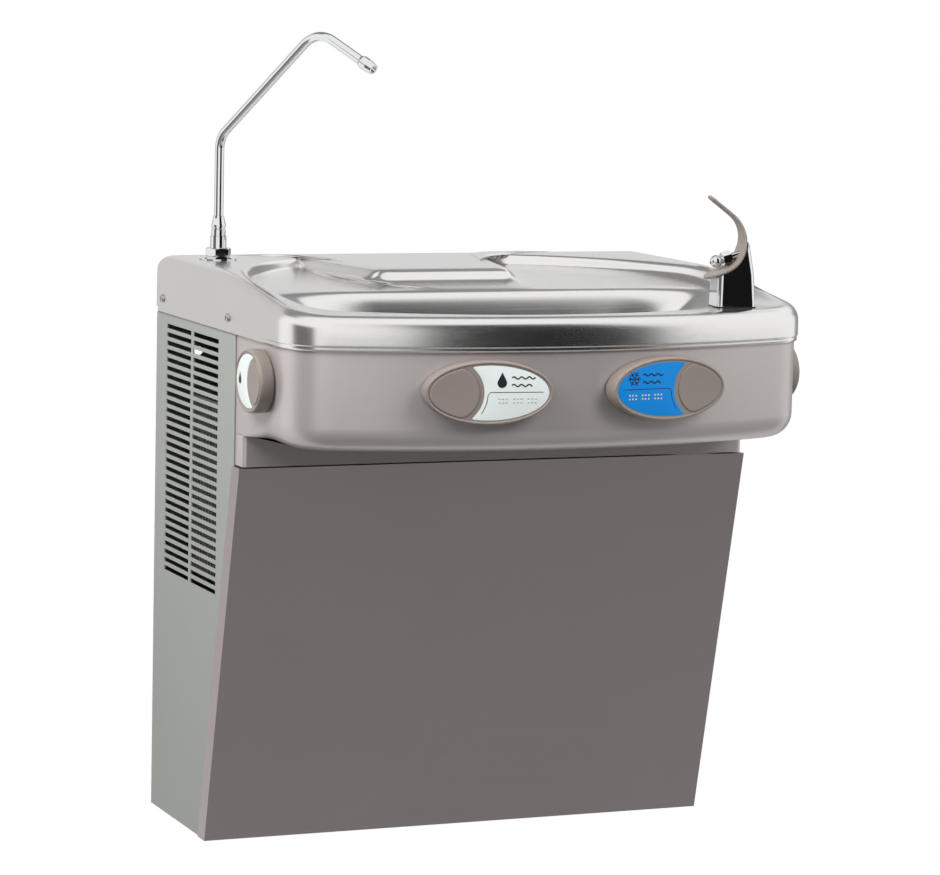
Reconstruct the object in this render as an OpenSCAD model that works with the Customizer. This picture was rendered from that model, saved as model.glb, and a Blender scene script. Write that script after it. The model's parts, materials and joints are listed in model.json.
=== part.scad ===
// Wall-hung pressure water cooler with a pressed steel basin, a glass filler and a mouth bubbler.
// X runs to the right, Y towards the wall and Z up. Heights are written from the cabinet's bottom
// edge, and hang() moves each piece so that the origin is the centre of the four wall fixings.

/* [Cabinet] */
// Width over the basin's rim
body_w = 460; // [420:2:520]
// Height of the rim's lower edge above the cabinet's bottom
rim_low = 440; // [430:1:470]
// Height of the seam between the front panel and the moulded front
seam_h = 328; // [310:1:335]
// Depth of a side panel at its bottom
side_low_d = 134; // [132:1:150]
// Depth of a side panel from the seam upwards
side_high_d = 210; // [206:1:220]
// Depth of the front panel's return flanges
pan_flange = 19; // [12:1:22]
// Thickness of the cabinet's sheet
sheet = 1; // [0.8:0.1:1.5]
// Width of the inward flanges of the panels
flange_w = 12; // [8:1:16]
// Height of the base pan above the bottom edge
pan_h = 28; // [22:1:34]

/* [Louvres] */
// Number of rows of louvre slots
slot_rows = 30; // [10:1:32]
// Distance from row to row
slot_pitch = 7.25; // [6.5:0.05:7.5]
// Height of one slot
slot_h = 4; // [2.5:0.1:5]
// Length of one slot
slot_l = 66; // [50:1:70]
// Width of the bar between the two columns
slot_bar = 6; // [4:0.5:10]
// Distance of the slots from the wall
slot_back = 29; // [22:1:36]
// Height of the lowest slot
slot_low = 213; // [205:1:225]

/* [Basin] */
// Height of the front rim's top
rim_top = 464; // [458:1:476]
// Height of the raised rear deck
deck_top = 485; // [480:1:500]
// Reach of the rim from the wall
rim_reach = 388; // [380:1:400]
// Radius of the bowed front in plan
front_r = 612; // [500:1:800]
// Radius of the rim's front corners in plan
corner_r = 30; // [20:1:40]
// Thickness of the pressed steel
basin_t = 1.2; // [0.8:0.1:1.5]
// Bend radius along the rim's upper edge
rim_bend = 8; // [5:0.5:9]
// Height of the hem below the rim's band
hem_h = 4; // [3:0.5:5]
// Half the width of the bowl's opening
bowl_half_w = 212; // [205:1:214]
// Width of the land between the bowl's opening and the front rim
land_w = 28; // [24:1:38]
// Radius of the bowl's bowed front in plan
bowl_front_r = 300; // [280:1:400]
// Radius of the bowl's front corners in plan
bowl_corner_r = 120; // [100:1:130]
// Depth of the crescent shelves below the deck
shelf_drop = 10; // [8:0.5:12]
// Height of the bowl's floor
floor_h = 408; // [406:0.5:412]
// Width of the tongue at its front edge
tongue_w = 122; // [100:1:130]
// How far the tongue sits to the left of the middle
tongue_off = 26; // [0:1:30]
// Distance of the tongue's front edge from the wall
tongue_reach = 172; // [150:1:176]
// Radius of the waste hole
waste_r = 17; // [16:0.5:18]

/* [Moulded front] */
// Height of the underside of the bulge
bulge_low = 355; // [352:1:358]
// Radius of the bulge's lower edge
bulge_r = 20; // [12:1:22]
// How far the moulded front stands back from the rim
apron_inset = 3; // [3:0.5:5]
// Wall of the moulded front
apron_t = 2; // [1.5:0.1:2.5]

/* [Push plates] */
// Distance of a front plate from the middle
plate_x = 77; // [70:1:90]
// Distance of the plates' centres below the rim's lower edge
plate_drop = 35; // [33:1:37]
// Width of a front plate
plate_w = 105; // [100:1:110]
// Height of every plate
plate_tall = 51.5; // [50:0.5:53]
// Width of a side plate
side_plate_w = 64; // [62:1:70]
// Distance of a side plate's centre from the wall
side_plate_y = 276; // [270:1:280]
// How far a plate stands out of the moulded front
plate_proud = 13; // [12:0.5:14]
// Travel of a push button
button_travel = 3; // [2:0.5:3]

/* [Glass filler] */
// Place of the filler to the left of the middle
filler_x = 194; // [190:1:198]
// Distance of the filler from the wall
filler_y = 62; // [56:1:68]
// Angle of the arm, seen from above, from the left-right line
filler_turn = 60; // [40:1:80]
// Outer diameter of the tube
tube_d = 8; // [7:0.5:9]
// Height of the arm's first bend above the deck
tube_rise = 94; // [80:1:110]
// Slope of the rising arm in degrees
rise_slope = 41.6; // [35:0.1:50]
// Length of the straight rising arm
rise_l = 113; // [90:1:130]
// Slope of the falling end in degrees
fall_slope = 27; // [20:0.5:35]
// Length of the straight falling end
fall_l = 47; // [36:1:60]

/* [Bubbler] */
// Place of the bubbler to the right of the middle
bubbler_x = 165; // [162:1:168]
// Distance of the bubbler behind the front rim
bubbler_in = 62; // [58:1:64]
// Height of the bubbler's body
bubbler_h = 54; // [50:1:58]
// Width of the mouth guard at its middle
guard_w = 27; // [22:1:30]
// Thickness of the mouth guard
guard_t = 3; // [2:0.5:3.5]

/* [Cooling unit] */
// Radius of the compressor's shell
comp_r = 52; // [46:1:54]
// Height of the compressor's shell
comp_h = 136; // [120:1:140]
// Radius of the cold tank
tank_r = 46; // [40:1:48]
// Height of the cold tank
tank_h = 140; // [120:1:150]
// Number of turns of the evaporator
evap_turns = 7; // [5:1:8]
// Radius of the fan's blades
fan_r = 54; // [45:1:56]
// Number of fan blades
blades = 5; // [4:1:7]
// Radius of the filter cartridge
filter_r = 30; // [25:1:32]
// Height of the filter cartridge
filter_h = 190; // [150:1:200]

/* [Wall fixings] */
// Distance between the fixings from left to right
fix_w = 380; // [340:1:400]
// Distance between the fixings up the wall
fix_tall = 300; // [260:1:320]
// Height of the middle of the fixings
fix_h = 250; // [240:1:255]
// Diameter of a fixing hole
fix_d = 8; // [6:0.5:10]

/* [Hidden] */

$fn = 48;
// Small gap between pieces that are screwed face to face
seat = 0.2;
// Radial clearance of a turning or sliding fit
run = 0.05;
// Gap round a loose hole or a part that must not rub
clear = 0.4;
// Overlap that makes a cut go right through
over = 1;

half_w = body_w / 2;
front_cy = front_r - rim_reach;
bowl_reach = rim_reach - land_w;
bubbler_y = rim_reach - bubbler_in;
plate_h = rim_low - plate_drop;
corner_x = half_w - corner_r;
corner_y = front_cy - sqrt(pow(front_r - corner_r, 2) - pow(corner_x, 2));
corner_end = 180 + atan2(front_cy - corner_y, corner_x);

side_seg = 10;
corner_seg = 5;
front_seg = 14;
rear_seg = 26;

// The bowl's opening: a bowed front, two round corners and a round rear cut by the tongue
bowl_cy = bowl_front_r - bowl_reach;
bowl_cx = bowl_half_w - bowl_corner_r;
bowl_corner_y = bowl_cy - sqrt(pow(bowl_front_r - bowl_corner_r, 2) - pow(bowl_cx, 2));
bowl_corner_end = 180 + atan2(bowl_cy - bowl_corner_y, bowl_cx);
rear_r = bowl_half_w;
rear_cy = bowl_corner_y - 15;
rear_open = 50;
rear_low = 5;
tongue_flare = 28;
tongue_corner_r = 10;
bowl_back = tongue_reach + 31;
bowl_inset = 9;
bowl_side_w = 78;
bowl_side_d = 15;
waste_y = 270;
bowl_c = [0, -waste_y];
floor_share = 0.62;

// The side panel's top, inside the rim's skirt
panel_top = rim_low + 16;
apron_y = side_high_d + 0.6;
apron_top = rim_low + 6;
neck_x = half_w;
neck_r = 4;
neck_y = side_high_d + pan_flange;
hem_in = 0.8;
panel_x = half_w - hem_in - basin_t - 0.1;

plate_lip = 2.2;
plate_recess = 0.8;
pad_r = plate_tall * 0.42;
pad_gap = 0.5;
pad_t = 3.2;
stem_r = 4;
guide_r = stem_r + run;
floor_t = plate_proud - pad_t - button_travel - 2.8;
boss_r = 8;
boss_l = 10;
stem_l = 24;
apron_r = front_r - apron_inset;
plate_turn = asin(plate_x / apron_r);

flange_top = 3;
spout_hex = 20;
spout_shank_r = 6;
gland_h = 17;
tube_r = tube_d / 2;
bend_low_r = 22;
bend_top_r = 28;
nozzle_l = 15;
bubbler_shank_r = 5;
gasket_t = 1;

guard_arc_r = 26.4;
guard_u = 18.8;
guard_up = bubbler_h + gasket_t;
guard_top_turn = 53;
guard_low_turn = 67;
guard_top_l = 26;
guard_low_l = 18;
guard_leaf_l = 19;
guard_arm_w = 9;

comp = [120, -66];
tank = [135, -92];
fan_c = [-95, 292];
fan_x = -178;
coil_x = -200;
coil_runs = 6;
coil_pitch = 25;
coil_low = 230;
coil_r = 3.5;
filter_c = [-62, -75];
filter_low = 110;
pipe_r = 10;
spigot_r = 11;
spigot_l = 20;
pipe_down_y = 120;
pipe_bend = 16;
inlet = [-150, -60];
thread_r = 10.48;
thread_l = 20;
gland_c = [-95, -32];
knob_c = [-150, 112];
back_t = 1.2;
grommet_r = 9;
grommet_h = 12;
foot_h = pan_h + back_t + grommet_h;
grommet_x = 58;
grommet_y = 36;
shelf_t = 1.2;
// Room between the compressor's shell and the shelf above it
shelf_room = 22.8;
tank_shelf_h = foot_h + 3 + comp_h + shelf_room;
tank_low = tank_shelf_h + 22;

// Helpers

module hang() { translate([0, 0, -fix_h]) children(); }

function arc(c, r, a0, a1, n) =
  [for (i = [0:n]) let (a = a0 + (a1 - a0) * i / n) c + r * [cos(a), sin(a)]];
function line(a, b, n) = [for (i = [0:n]) a + (b - a) * i / n];
function but_last(p) = [for (i = [0:len(p) - 2]) p[i]];
function ellipse(rx, ry, n = 48) = [for (i = [0:n - 1]) [rx * cos(360 * i / n), ry * sin(360 * i / n)]];
function ease(t) = let (u = min(1, max(0, t))) u * u * (3 - 2 * u);
function unit(v) = v / norm(v);
function lift(p, z) = [for (q = p) [q[0], q[1], z]];

// Skin over closed rings with the same number of points. closed joins the last ring to the first.
module skin(rings, closed = false) {
  n = len(rings[0]);
  m = len(rings);
  sides = [for (k = [0:(closed ? m - 1 : m - 2)], i = [0:n - 1])
    let (a = k * n + i, b = k * n + (i + 1) % n, up = (k + 1) % m * n)
    each [[a, up + i, up + (i + 1) % n], [a, up + (i + 1) % n, b]]];
  caps = closed ? [] : [[for (i = [0:n - 1]) i], [for (i = [n - 1:-1:0]) (m - 1) * n + i]];
  polyhedron([for (r = rings) each r], concat(sides, caps), convexity = 10);
}

// Path through points whose corners are turned into arcs of radius q
function fillet(points, q, n = 5) = [for (i = [0:len(points) - 1])
  if (i == 0 || i == len(points) - 1) points[i]
  else let (p = points[i], a = unit(points[i - 1] - p), b = unit(points[i + 1] - p), half = acos(a * b) / 2,
            c = p + unit(a + b) * q / sin(half), s = p + a * q / tan(half), e = p + b * q / tan(half),
            u = unit(s - c), v = unit(e - s - ((e - s) * u) * u), turn = 180 - 2 * half)
    each [for (k = [0:n]) c + q * (cos(turn * k / n) * u + sin(turn * k / n) * v)]];

// Rings of n points round a path
function rings_along(path, r, n) =
  let (m = len(path) - 1, dir = [for (i = [0:m]) unit(path[min(m, i + 1)] - path[max(0, i - 1)])],
       start = unit(cross(dir[0], abs(dir[0][0]) < 0.8 ? [1, 0, 0] : [0, 1, 0])),
       side = [for (i = 0, u = start; i <= m; i = i + 1, u = i <= m ? unit(u - (u * dir[i]) * dir[i]) : u) u])
  [for (i = [0:m]) [for (k = [0:n - 1]) let (a = -360 * k / n)
    path[i] + r * (cos(a) * side[i] + sin(a) * cross(dir[i], side[i]))]];

// Round bar of radius r along a path
module sweep(path, r, n = 10) { skin(rings_along(path, r, n)); }

// Round tube along a path
module hose(path, r, wall, n) {
  inner = rings_along(path, r - wall, n);
  skin(concat(rings_along(path, r, n), [for (i = [len(inner) - 1:-1:0]) inner[i]]), closed = true);
}

module between(a, b, r) {
  d = b - a;
  turn = atan2(d[1], d[0]);
  tilt = acos(d[2] / norm(d));
  translate(a) rotate([0, tilt, turn]) cylinder(r = r, h = norm(d));
}

module ring(r_out, r_in, h) {
  difference() {
    cylinder(r = r_out, h = h);
    translate([0, 0, -over]) cylinder(r = r_in, h = h + 2 * over);
  }
}

module hexagon(across, h) { cylinder(r = across / 2 / cos(30), h = h, $fn = 6); }

// Basin

// Height of the rim and deck at a distance from the wall
deck_rise_from = 150;
deck_rise_to = 310;
function rise(y) =
  deck_top - (deck_top - rim_top) * ease((-y - deck_rise_from) / (deck_rise_to - deck_rise_from));

// Plan of the rim, moved inwards by d
function rim_loop(d) = concat(
  but_last(line([-half_w + d, -d], [-half_w + d, corner_y], side_seg)),
  but_last(arc([-corner_x, corner_y], corner_r - d, 180, corner_end, corner_seg)),
  but_last(arc([0, front_cy], front_r - d, corner_end, 540 - corner_end, front_seg)),
  but_last(arc([corner_x, corner_y], corner_r - d, 540 - corner_end, 360, corner_seg)),
  but_last(line([half_w - d, corner_y], [half_w - d, -d], side_seg)),
  but_last(line([half_w - d, -d], [-half_w + d, -d], rear_seg)));

function bowl_front(d) = concat(
  but_last(arc([-bowl_cx, bowl_corner_y], bowl_corner_r - d, 180, bowl_corner_end, corner_seg)),
  but_last(arc([0, bowl_cy], bowl_front_r - d, bowl_corner_end, 540 - bowl_corner_end, front_seg)),
  but_last(arc([bowl_cx, bowl_corner_y], bowl_corner_r - d, 540 - bowl_corner_end, 360, corner_seg)));

// The tongue's outline from its right root to its left root, grown by d
function tongue(d) =
  let (c = -tongue_off, w = tongue_w / 2 + d, f = -tongue_reach - d, q = tongue_corner_r + d,
       root = w + tongue_flare, back = rear_cy + sqrt(pow(rear_r - d, 2) - pow(abs(c) + root, 2)))
  concat(
    but_last(line([c + root, back], [c + w + q / 3, f + q], 5)),
    but_last(arc([c + w - q, f + q], q, 0, -90, 3)),
    but_last(line([c + w - q, f], [c - w + q, f], 4)),
    but_last(arc([c - w + q, f + q], q, -90, -180, 3)),
    but_last(line([c - w - q / 3, f + q], [c - root, back], 5)));

// Plan of the bowl's opening, moved inwards by d
function bowl_loop(d) = concat(
  but_last(arc([0, rear_cy], rear_r - d, 180 - rear_open, 180 - rear_low, side_seg)),
  bowl_front(d),
  but_last(arc([0, rear_cy], rear_r - d, rear_low, rear_open, side_seg)),
  but_last(arc([0, rear_cy], rear_r - d, rear_open, 72, 4)),
  tongue(d),
  but_last(arc([0, rear_cy], rear_r - d, 122, 180 - rear_open, 2)));

// Plan of the deep part of the bowl, in front of the shelves
deep_x = bowl_half_w - bowl_inset - bowl_side_w;
function deep_side(d, a0, a1, s) =
  [for (i = [0:side_seg - 1]) let (a = a0 + (a1 - a0) * i / side_seg)
    [s * deep_x + (bowl_side_w - d) * cos(a), -bowl_back - bowl_side_d + (bowl_side_d - d) * sin(a)]];
function deep_loop(d) = concat(
  deep_side(d, 90, 180, -1),
  bowl_front(bowl_inset + d),
  deep_side(d, 0, 90, 1),
  but_last(line([deep_x, -bowl_back - d], [-deep_x, -bowl_back - d], rear_seg)));
function floor_loop(share) = [for (p = deep_loop(0)) bowl_c + (p - bowl_c) * share];
function waste_loop(r) = [for (p = deep_loop(0)) bowl_c + r * unit(p - bowl_c)];

// A ring that follows the deck's height less a drop
function follow(p, drop) = [for (q = p) [q[0], q[1], rise(q[1]) - drop]];
function wall_ring(share, grow) =
  [for (p = deep_loop(0)) let (q = bowl_c + (p - bowl_c) * (share + grow))
    [q[0], q[1], floor_h + 6 + (rise(p[1]) - 20 - floor_h - 6) * pow((share - floor_share) / (1 - floor_share), 1.3)]];
function lower(ring, t) = [for (q = ring) [q[0], q[1], q[2] - t]];

waste_step = 3;
module basin_shell() {
  t = basin_t;
  b = rim_bend;
  hem_z = rim_low - hem_h;
  top = concat(
    [lift(rim_loop(hem_in), hem_z), lift(rim_loop(hem_in), rim_low - hem_in / 2), lift(rim_loop(0), rim_low)],
    [follow(rim_loop(0), b)],
    [for (a = [30, 60]) follow(rim_loop(b - b * cos(a)), b - b * sin(a))],
    [follow(rim_loop(b), 0), follow(bowl_loop(-5), 0), follow(bowl_loop(-1.5), 1.5),
     follow(bowl_loop(0), 5), follow(bowl_loop(2), shelf_drop), follow(deep_loop(0), shelf_drop + 2),
     wall_ring(0.9, 0), wall_ring(0.75, 0), lift(floor_loop(floor_share), floor_h + 3),
     lift(floor_loop(0.35), floor_h + 1), lift(waste_loop(waste_r + 9), floor_h),
     lift(waste_loop(waste_r + 7), floor_h - waste_step), lift(waste_loop(waste_r), floor_h - waste_step)]);
  under = concat(
    [lift(waste_loop(waste_r), floor_h - waste_step - t), lift(waste_loop(waste_r + 7 + t), floor_h - waste_step - t),
     lift(waste_loop(waste_r + 9 + t), floor_h - t), lift(floor_loop(0.35), floor_h + 1 - t),
     lift(floor_loop(floor_share), floor_h + 3 - t),
     lower(wall_ring(0.75, 0.006), t), lower(wall_ring(0.9, 0.006), t),
     follow(deep_loop(-t), shelf_drop + 2 + t), follow(bowl_loop(2 - t), shelf_drop + t),
     follow(bowl_loop(-t), 5 + t / 2), follow(bowl_loop(-1.5 - t * 0.7), 1.5 + t * 0.7),
     follow(bowl_loop(-5), t)],
    [for (a = [90, 60, 30]) follow(rim_loop(b - (b - t) * cos(a)), b - (b - t) * sin(a))],
    [follow(rim_loop(t), b), lift(rim_loop(t), rim_low), lift(rim_loop(hem_in + t), rim_low - hem_in / 2),
     lift(rim_loop(hem_in + t), hem_z)]);
  skin(concat(top, under), closed = true);
}

skirt_screw_y = [22, 196];
skirt_screw_h = rim_low + 8;
screw_r = 2;
module side_drill(y, z, r, l) {
  for (s = [-1, 1]) translate([s * (half_w + l / 2), y, z]) rotate([0, -s * 90, 0]) cylinder(r = r, h = l, $fn = 24);
}

module basin() {
  color("silver") hang() difference() {
    basin_shell();
    translate([-filler_x, -filler_y, rim_top]) cylinder(r = spout_shank_r + clear / 2, h = 50);
    translate([bubbler_x, -bubbler_y, floor_h]) cylinder(r = bubbler_shank_r + clear, h = 80);
    for (y = skirt_screw_y) side_drill(-y, skirt_screw_h, screw_r + clear / 2, 12);
  }
}

// Moulded front

// Path of the wall in plan from left to right, moved inwards by d from the rim
apron_side_seg = 5;
function apron_path(d) = concat(
  but_last(line([-half_w + d, -apron_y], [-half_w + d, corner_y], apron_side_seg)),
  but_last(arc([-corner_x, corner_y], corner_r - d, 180, corner_end, corner_seg)),
  but_last(arc([0, front_cy], front_r - d, corner_end, 540 - corner_end, front_seg)),
  but_last(arc([corner_x, corner_y], corner_r - d, 540 - corner_end, 360, corner_seg)),
  line([half_w - d, corner_y], [half_w - d, -apron_y], apron_side_seg));
function neck_path(d) = concat(
  but_last(line([-neck_x + d, -apron_y], [-neck_x + d, -neck_y + neck_r], apron_side_seg)),
  but_last(arc([-neck_x + neck_r, -neck_y + neck_r], neck_r - d, 180, 270, corner_seg)),
  but_last(line([-neck_x + neck_r, -neck_y + d], [neck_x - neck_r, -neck_y + d], front_seg)),
  but_last(arc([neck_x - neck_r, -neck_y + neck_r], neck_r - d, 270, 360, corner_seg)),
  line([neck_x - d, -neck_y + neck_r], [neck_x - d, -apron_y], apron_side_seg));

// The lower edge's radius grows from nothing where the bulge leaves the neck
function edge_r(y) = max(0.4, bulge_r * ease((-y - apron_y) / 55));

module apron() {
  i0 = apron_inset;
  t = apron_t;
  low = seam_h + 0.6;
  outer = apron_path(i0);
  neck = neck_path(0);
  neck_in = neck_path(t);
  inner = apron_path(i0 + t);
  rings = [for (k = [0:len(outer) - 1])
    let (p = outer[k], r = edge_r(p[1]), q = inner[k], in_dir = unit(q - p), ri = max(0.2, r - t))
    concat(
      [[p[0], p[1], apron_top]],
      [for (a = [0:22.5:90]) let (o = p + in_dir * r * (1 - cos(a))) [o[0], o[1], bulge_low + r * (1 - sin(a))]],
      [[neck[k][0], neck[k][1], bulge_low], [neck[k][0], neck[k][1], low]],
      [[neck_in[k][0], neck_in[k][1], low], [neck_in[k][0], neck_in[k][1], bulge_low + t]],
      [for (a = [90:-22.5:0]) let (o = q + in_dir * ri * (1 - cos(a))) [o[0], o[1], bulge_low + t + ri * (1 - sin(a))]],
      [[q[0], q[1], apron_top]])];
  color("tan") hang() difference() {
    skin(rings);
    at_plates() translate([0, 0, -2 * apron_t - 4]) cylinder(r = boss_r + clear, h = 4 * apron_t + 8);
  }
}

// Push plates. Their own frame has Z out of the cabinet, X to the right as seen and Y up.

module on_front(s) {
  translate([0, front_cy, plate_h]) rotate([0, 0, s * plate_turn])
    translate([0, -apron_r, 0]) rotate([90, 0, 0]) children();
}

module on_side(s) {
  translate([s * (half_w - apron_inset), -side_plate_y, plate_h]) rotate([0, 0, s * 90]) rotate([90, 0, 0]) children();
}

module at_plates() {
  for (s = [-1, 1]) {
    on_front(s) translate([s * pad_x(plate_w), 0, 0]) children();
    on_side(s) translate([-s * pad_x(side_plate_w), 0, 0]) children();
  }
}

// Place of the round pad's centre from the plate's centre, towards its outer end
function pad_x(w) = w / 2 - pad_r - plate_lip + (w > 80 ? 0 : 6);

module pad_shape(w, d, s) {
  intersection() {
    translate([s * pad_x(w), 0]) circle(r = pad_r - d);
    polygon(ellipse(w / 2 - plate_lip - d, plate_tall / 2 - plate_lip - d));
  }
}

module label_shape(w, d, s) {
  difference() {
    polygon(ellipse(w / 2 - plate_lip - 1.2 - d, plate_tall / 2 - plate_lip - 1.2 - d));
    translate([s * pad_x(w), 0]) circle(r = pad_r + 3 + d);
    translate([s * (pad_x(w) + pad_r * 0.6), 0]) square([2 * pad_r, plate_tall], center = true);
  }
}

// A plate for a face of width w with its pad towards side s
module bezel(w, s) {
  e = [[0, 0], [0, plate_proud - 3], [0.5, plate_proud - 1.2], [1.6, plate_proud]];
  difference() {
    union() {
      skin([for (q = e) lift(ellipse(w / 2 - q[0], plate_tall / 2 - q[0]), q[1])]);
      translate([s * pad_x(w), 0, -boss_l]) cylinder(r = boss_r, h = boss_l + 1);
    }
    translate([0, 0, floor_t]) linear_extrude(plate_proud) pad_shape(w, 0, s);
    translate([0, 0, plate_proud - plate_recess]) linear_extrude(plate_proud) label_shape(w, 0, s);
    translate([s * pad_x(w), 0, -boss_l - over]) cylinder(r = guide_r, h = boss_l + plate_proud);
  }
}

module front_bezels() {
  color("gray") hang() for (s = [-1, 1]) difference() {
    on_front(s) translate([0, 0, -3]) bezel_deep(s);
    translate([0, front_cy, plate_h - plate_tall])
      difference() {
        cylinder(r = apron_r + seat, h = 2 * plate_tall, $fn = 360);
        on_boss(s);
      }
  }
}

// The front plate made 3 mm deeper, so that its back can follow the bowed wall
module bezel_deep(s) {
  translate([0, 0, 3]) bezel(plate_w, s);
  linear_extrude(4) difference() {
    polygon(ellipse(plate_w / 2, plate_tall / 2));
    translate([s * pad_x(plate_w), 0]) circle(r = guide_r);
  }
}

module on_boss(s) {
  rotate([0, 0, s * plate_turn]) translate([s * pad_x(plate_w), 0, plate_tall]) rotate([90, 0, 0])
    cylinder(r = boss_r + 0.01, h = apron_r + 10);
}

module side_bezels() { color("gray") hang() for (s = [-1, 1]) on_side(s) translate([0, 0, seat]) bezel(side_plate_w, -s); }

module push_button(w, s) {
  translate([0, 0, plate_proud - pad_t]) linear_extrude(pad_t) pad_shape(w, pad_gap, s);
  translate([s * pad_x(w), 0, plate_proud - stem_l]) cylinder(r = stem_r, h = stem_l - 1);
}

module front_left_button() { color("gray") hang() on_front(-1) push_button(plate_w, -1); }
module front_right_button() { color("gray") hang() on_front(1) push_button(plate_w, 1); }
module left_side_button() { color("gray") hang() on_side(-1) translate([0, 0, seat]) push_button(side_plate_w, 1); }
module right_side_button() { color("gray") hang() on_side(1) translate([0, 0, seat]) push_button(side_plate_w, -1); }

// Return spring round the stem, between the plate's floor and the pad
module return_spring(w, s) {
  translate([s * pad_x(w), 0, floor_t + seat])
    ring(stem_r + 2.4, stem_r + 1.2, plate_proud - pad_t - floor_t - 2 * seat);
}

module front_left_spring() { color("lightgray") hang() on_front(-1) return_spring(plate_w, -1); }
module front_right_spring() { color("lightgray") hang() on_front(1) return_spring(plate_w, 1); }
module left_side_spring() { color("lightgray") hang() on_side(-1) translate([0, 0, seat]) return_spring(side_plate_w, 1); }
module right_side_spring() { color("lightgray") hang() on_side(1) translate([0, 0, seat]) return_spring(side_plate_w, -1); }

module label(w, s) {
  translate([0, 0, plate_proud - plate_recess + 0.1]) linear_extrude(plate_recess - 0.2) label_shape(w, 0.3, s);
}

module natural_labels() {
  color("honeydew") hang() {
    on_front(-1) label(plate_w, -1);
    on_side(-1) translate([0, 0, seat]) label(side_plate_w, 1);
  }
}

module chilled_labels() {
  color("dodgerblue") hang() {
    on_front(1) label(plate_w, 1);
    on_side(1) translate([0, 0, seat]) label(side_plate_w, -1);
  }
}

module bezel_nuts() {
  color("dimgray") hang() at_plates() translate([0, 0, -boss_l + 1]) ring(boss_r + 4, boss_r + run, boss_l - apron_t - 4);
}

// Switch housings that the stems run into, held on the ends of the bosses
module button_switches() {
  color("black") hang() at_plates() translate([0, 0, -boss_l - seat]) mirror([0, 0, 1]) difference() {
    union() {
      translate([-10, -8, 0]) cube([20, 16, 16]);
      for (x = [-6, 0, 6]) translate([x - 0.4, -3, 15]) cube([0.8, 6, 7]);
    }
    translate([0, 0, -over]) cylinder(r = stem_r + clear, h = 12);
  }
}

// Cabinet panels

module side_profile() {
  polygon([[0, 0], [-side_low_d, 0], [-side_high_d, seam_h], [-side_high_d, panel_top],
    [-basin_t - 1.3, panel_top], [-basin_t - 1.3, rim_low - hem_h - 1], [0, rim_low - hem_h - 1]]);
}

// The right-hand panel. Its outline lies in the Y-Z plane.
module side_panel() {
  slope = atan2(side_high_d - side_low_d, seam_h);
  difference() {
    union() {
      translate([panel_x, 0, 0]) rotate([90, 0, 90]) mirror([0, 0, 1]) linear_extrude(sheet) side_profile();
      translate([panel_x - flange_w, -side_low_d, 0]) cube([flange_w, side_low_d - 4, sheet]);
      translate([panel_x - flange_w, -side_high_d, seam_h]) cube([flange_w, sheet, rim_low - hem_h - seam_h - 2]);
      translate([panel_x - flange_w, -side_low_d, 0]) rotate([slope, 0, 0])
        cube([flange_w, sheet, (seam_h - 1) / cos(slope)]);
    }
    for (row = [0:slot_rows - 1], col = [0, 1])
      translate([panel_x - 2 * sheet, -slot_back - slot_l - col * (slot_l + slot_bar), slot_low + row * slot_pitch])
        cube([3 * sheet, slot_l, slot_h]);
    for (y = skirt_screw_y) translate([panel_x - 3, -y, skirt_screw_h]) rotate([0, 90, 0])
      cylinder(r = screw_r + run, h = 6, $fn = 24);
  }
}

module left_side_panel() { color("darkgray") hang() mirror([1, 0, 0]) side_panel(); }
module right_side_panel() { color("darkgray") hang() side_panel(); }

// Slanted pan with four return flanges
panel_gap = 0.6;
module front_panel() {
  w = half_w - 0.4;
  z1 = seam_h - panel_gap;
  run_y = side_high_d - side_low_d;
  y1 = -side_low_d - run_y * z1 / seam_h;
  color("rosybrown") hang() difference() {
    translate([-w, 0, 0]) rotate([90, 0, 90]) linear_extrude(2 * w)
      polygon([[-side_low_d - panel_gap, 0], [-side_low_d - pan_flange, 0], [y1 - pan_flange, z1], [y1 - panel_gap, z1]]);
    translate([-w + sheet, 0, 0]) rotate([90, 0, 90]) linear_extrude(2 * w - 2 * sheet)
      polygon([[-side_low_d + 2, sheet], [-side_low_d - pan_flange + sheet, sheet],
        [y1 - pan_flange + sheet, z1 - sheet], [y1 + 2, z1 - sheet]]);
    for (x = panel_screw_x) translate([x, -side_low_d - pan_flange / 2, -over]) cylinder(r = screw_r + run, h = 4, $fn = 24);
  }
}

panel_screw_x = [-150, 150];
module pan_screw() {
  cylinder(r = screw_r, h = 9, $fn = 24);
  mirror([0, 0, 1]) rotate_extrude($fn = 32) polygon([[0, 0], [3.7, 0], [3.5, 0.9], [2.6, 1.7], [0, 2.1]]);
}

module skirt_screws() {
  color("silver") hang() for (s = [-1, 1], y = skirt_screw_y)
    translate([s * (half_w + run), -y, skirt_screw_h]) rotate([0, -s * 90, 0]) pan_screw();
}

// The two screws hold the panel's lower flange to the lip of the base pan
module panel_screws() {
  color("silver") hang() for (x = panel_screw_x)
    translate([x, -side_low_d - pan_flange / 2, -run]) pan_screw();
}

module back_plate() {
  top = rim_low - hem_h - 1;
  w = panel_x - sheet - seat;
  color("gainsboro") hang() difference() {
    union() {
      translate([-w, -back_t, 2]) cube([2 * w, back_t, top - 2]);
      for (s = [-1, 1]) translate([s * (w - back_t / 2) - back_t / 2, -flange_w, 2]) cube([back_t, flange_w, top - 2]);
      translate([-w, -flange_w, top - back_t]) cube([2 * w, flange_w, back_t]);
    }
    for (x = [-1, 1], z = [-1, 1]) translate([x * fix_w / 2, over, fix_h + z * fix_tall / 2])
      rotate([90, 0, 0]) cylinder(r = fix_d / 2, h = flange_w);
  }
}

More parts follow.
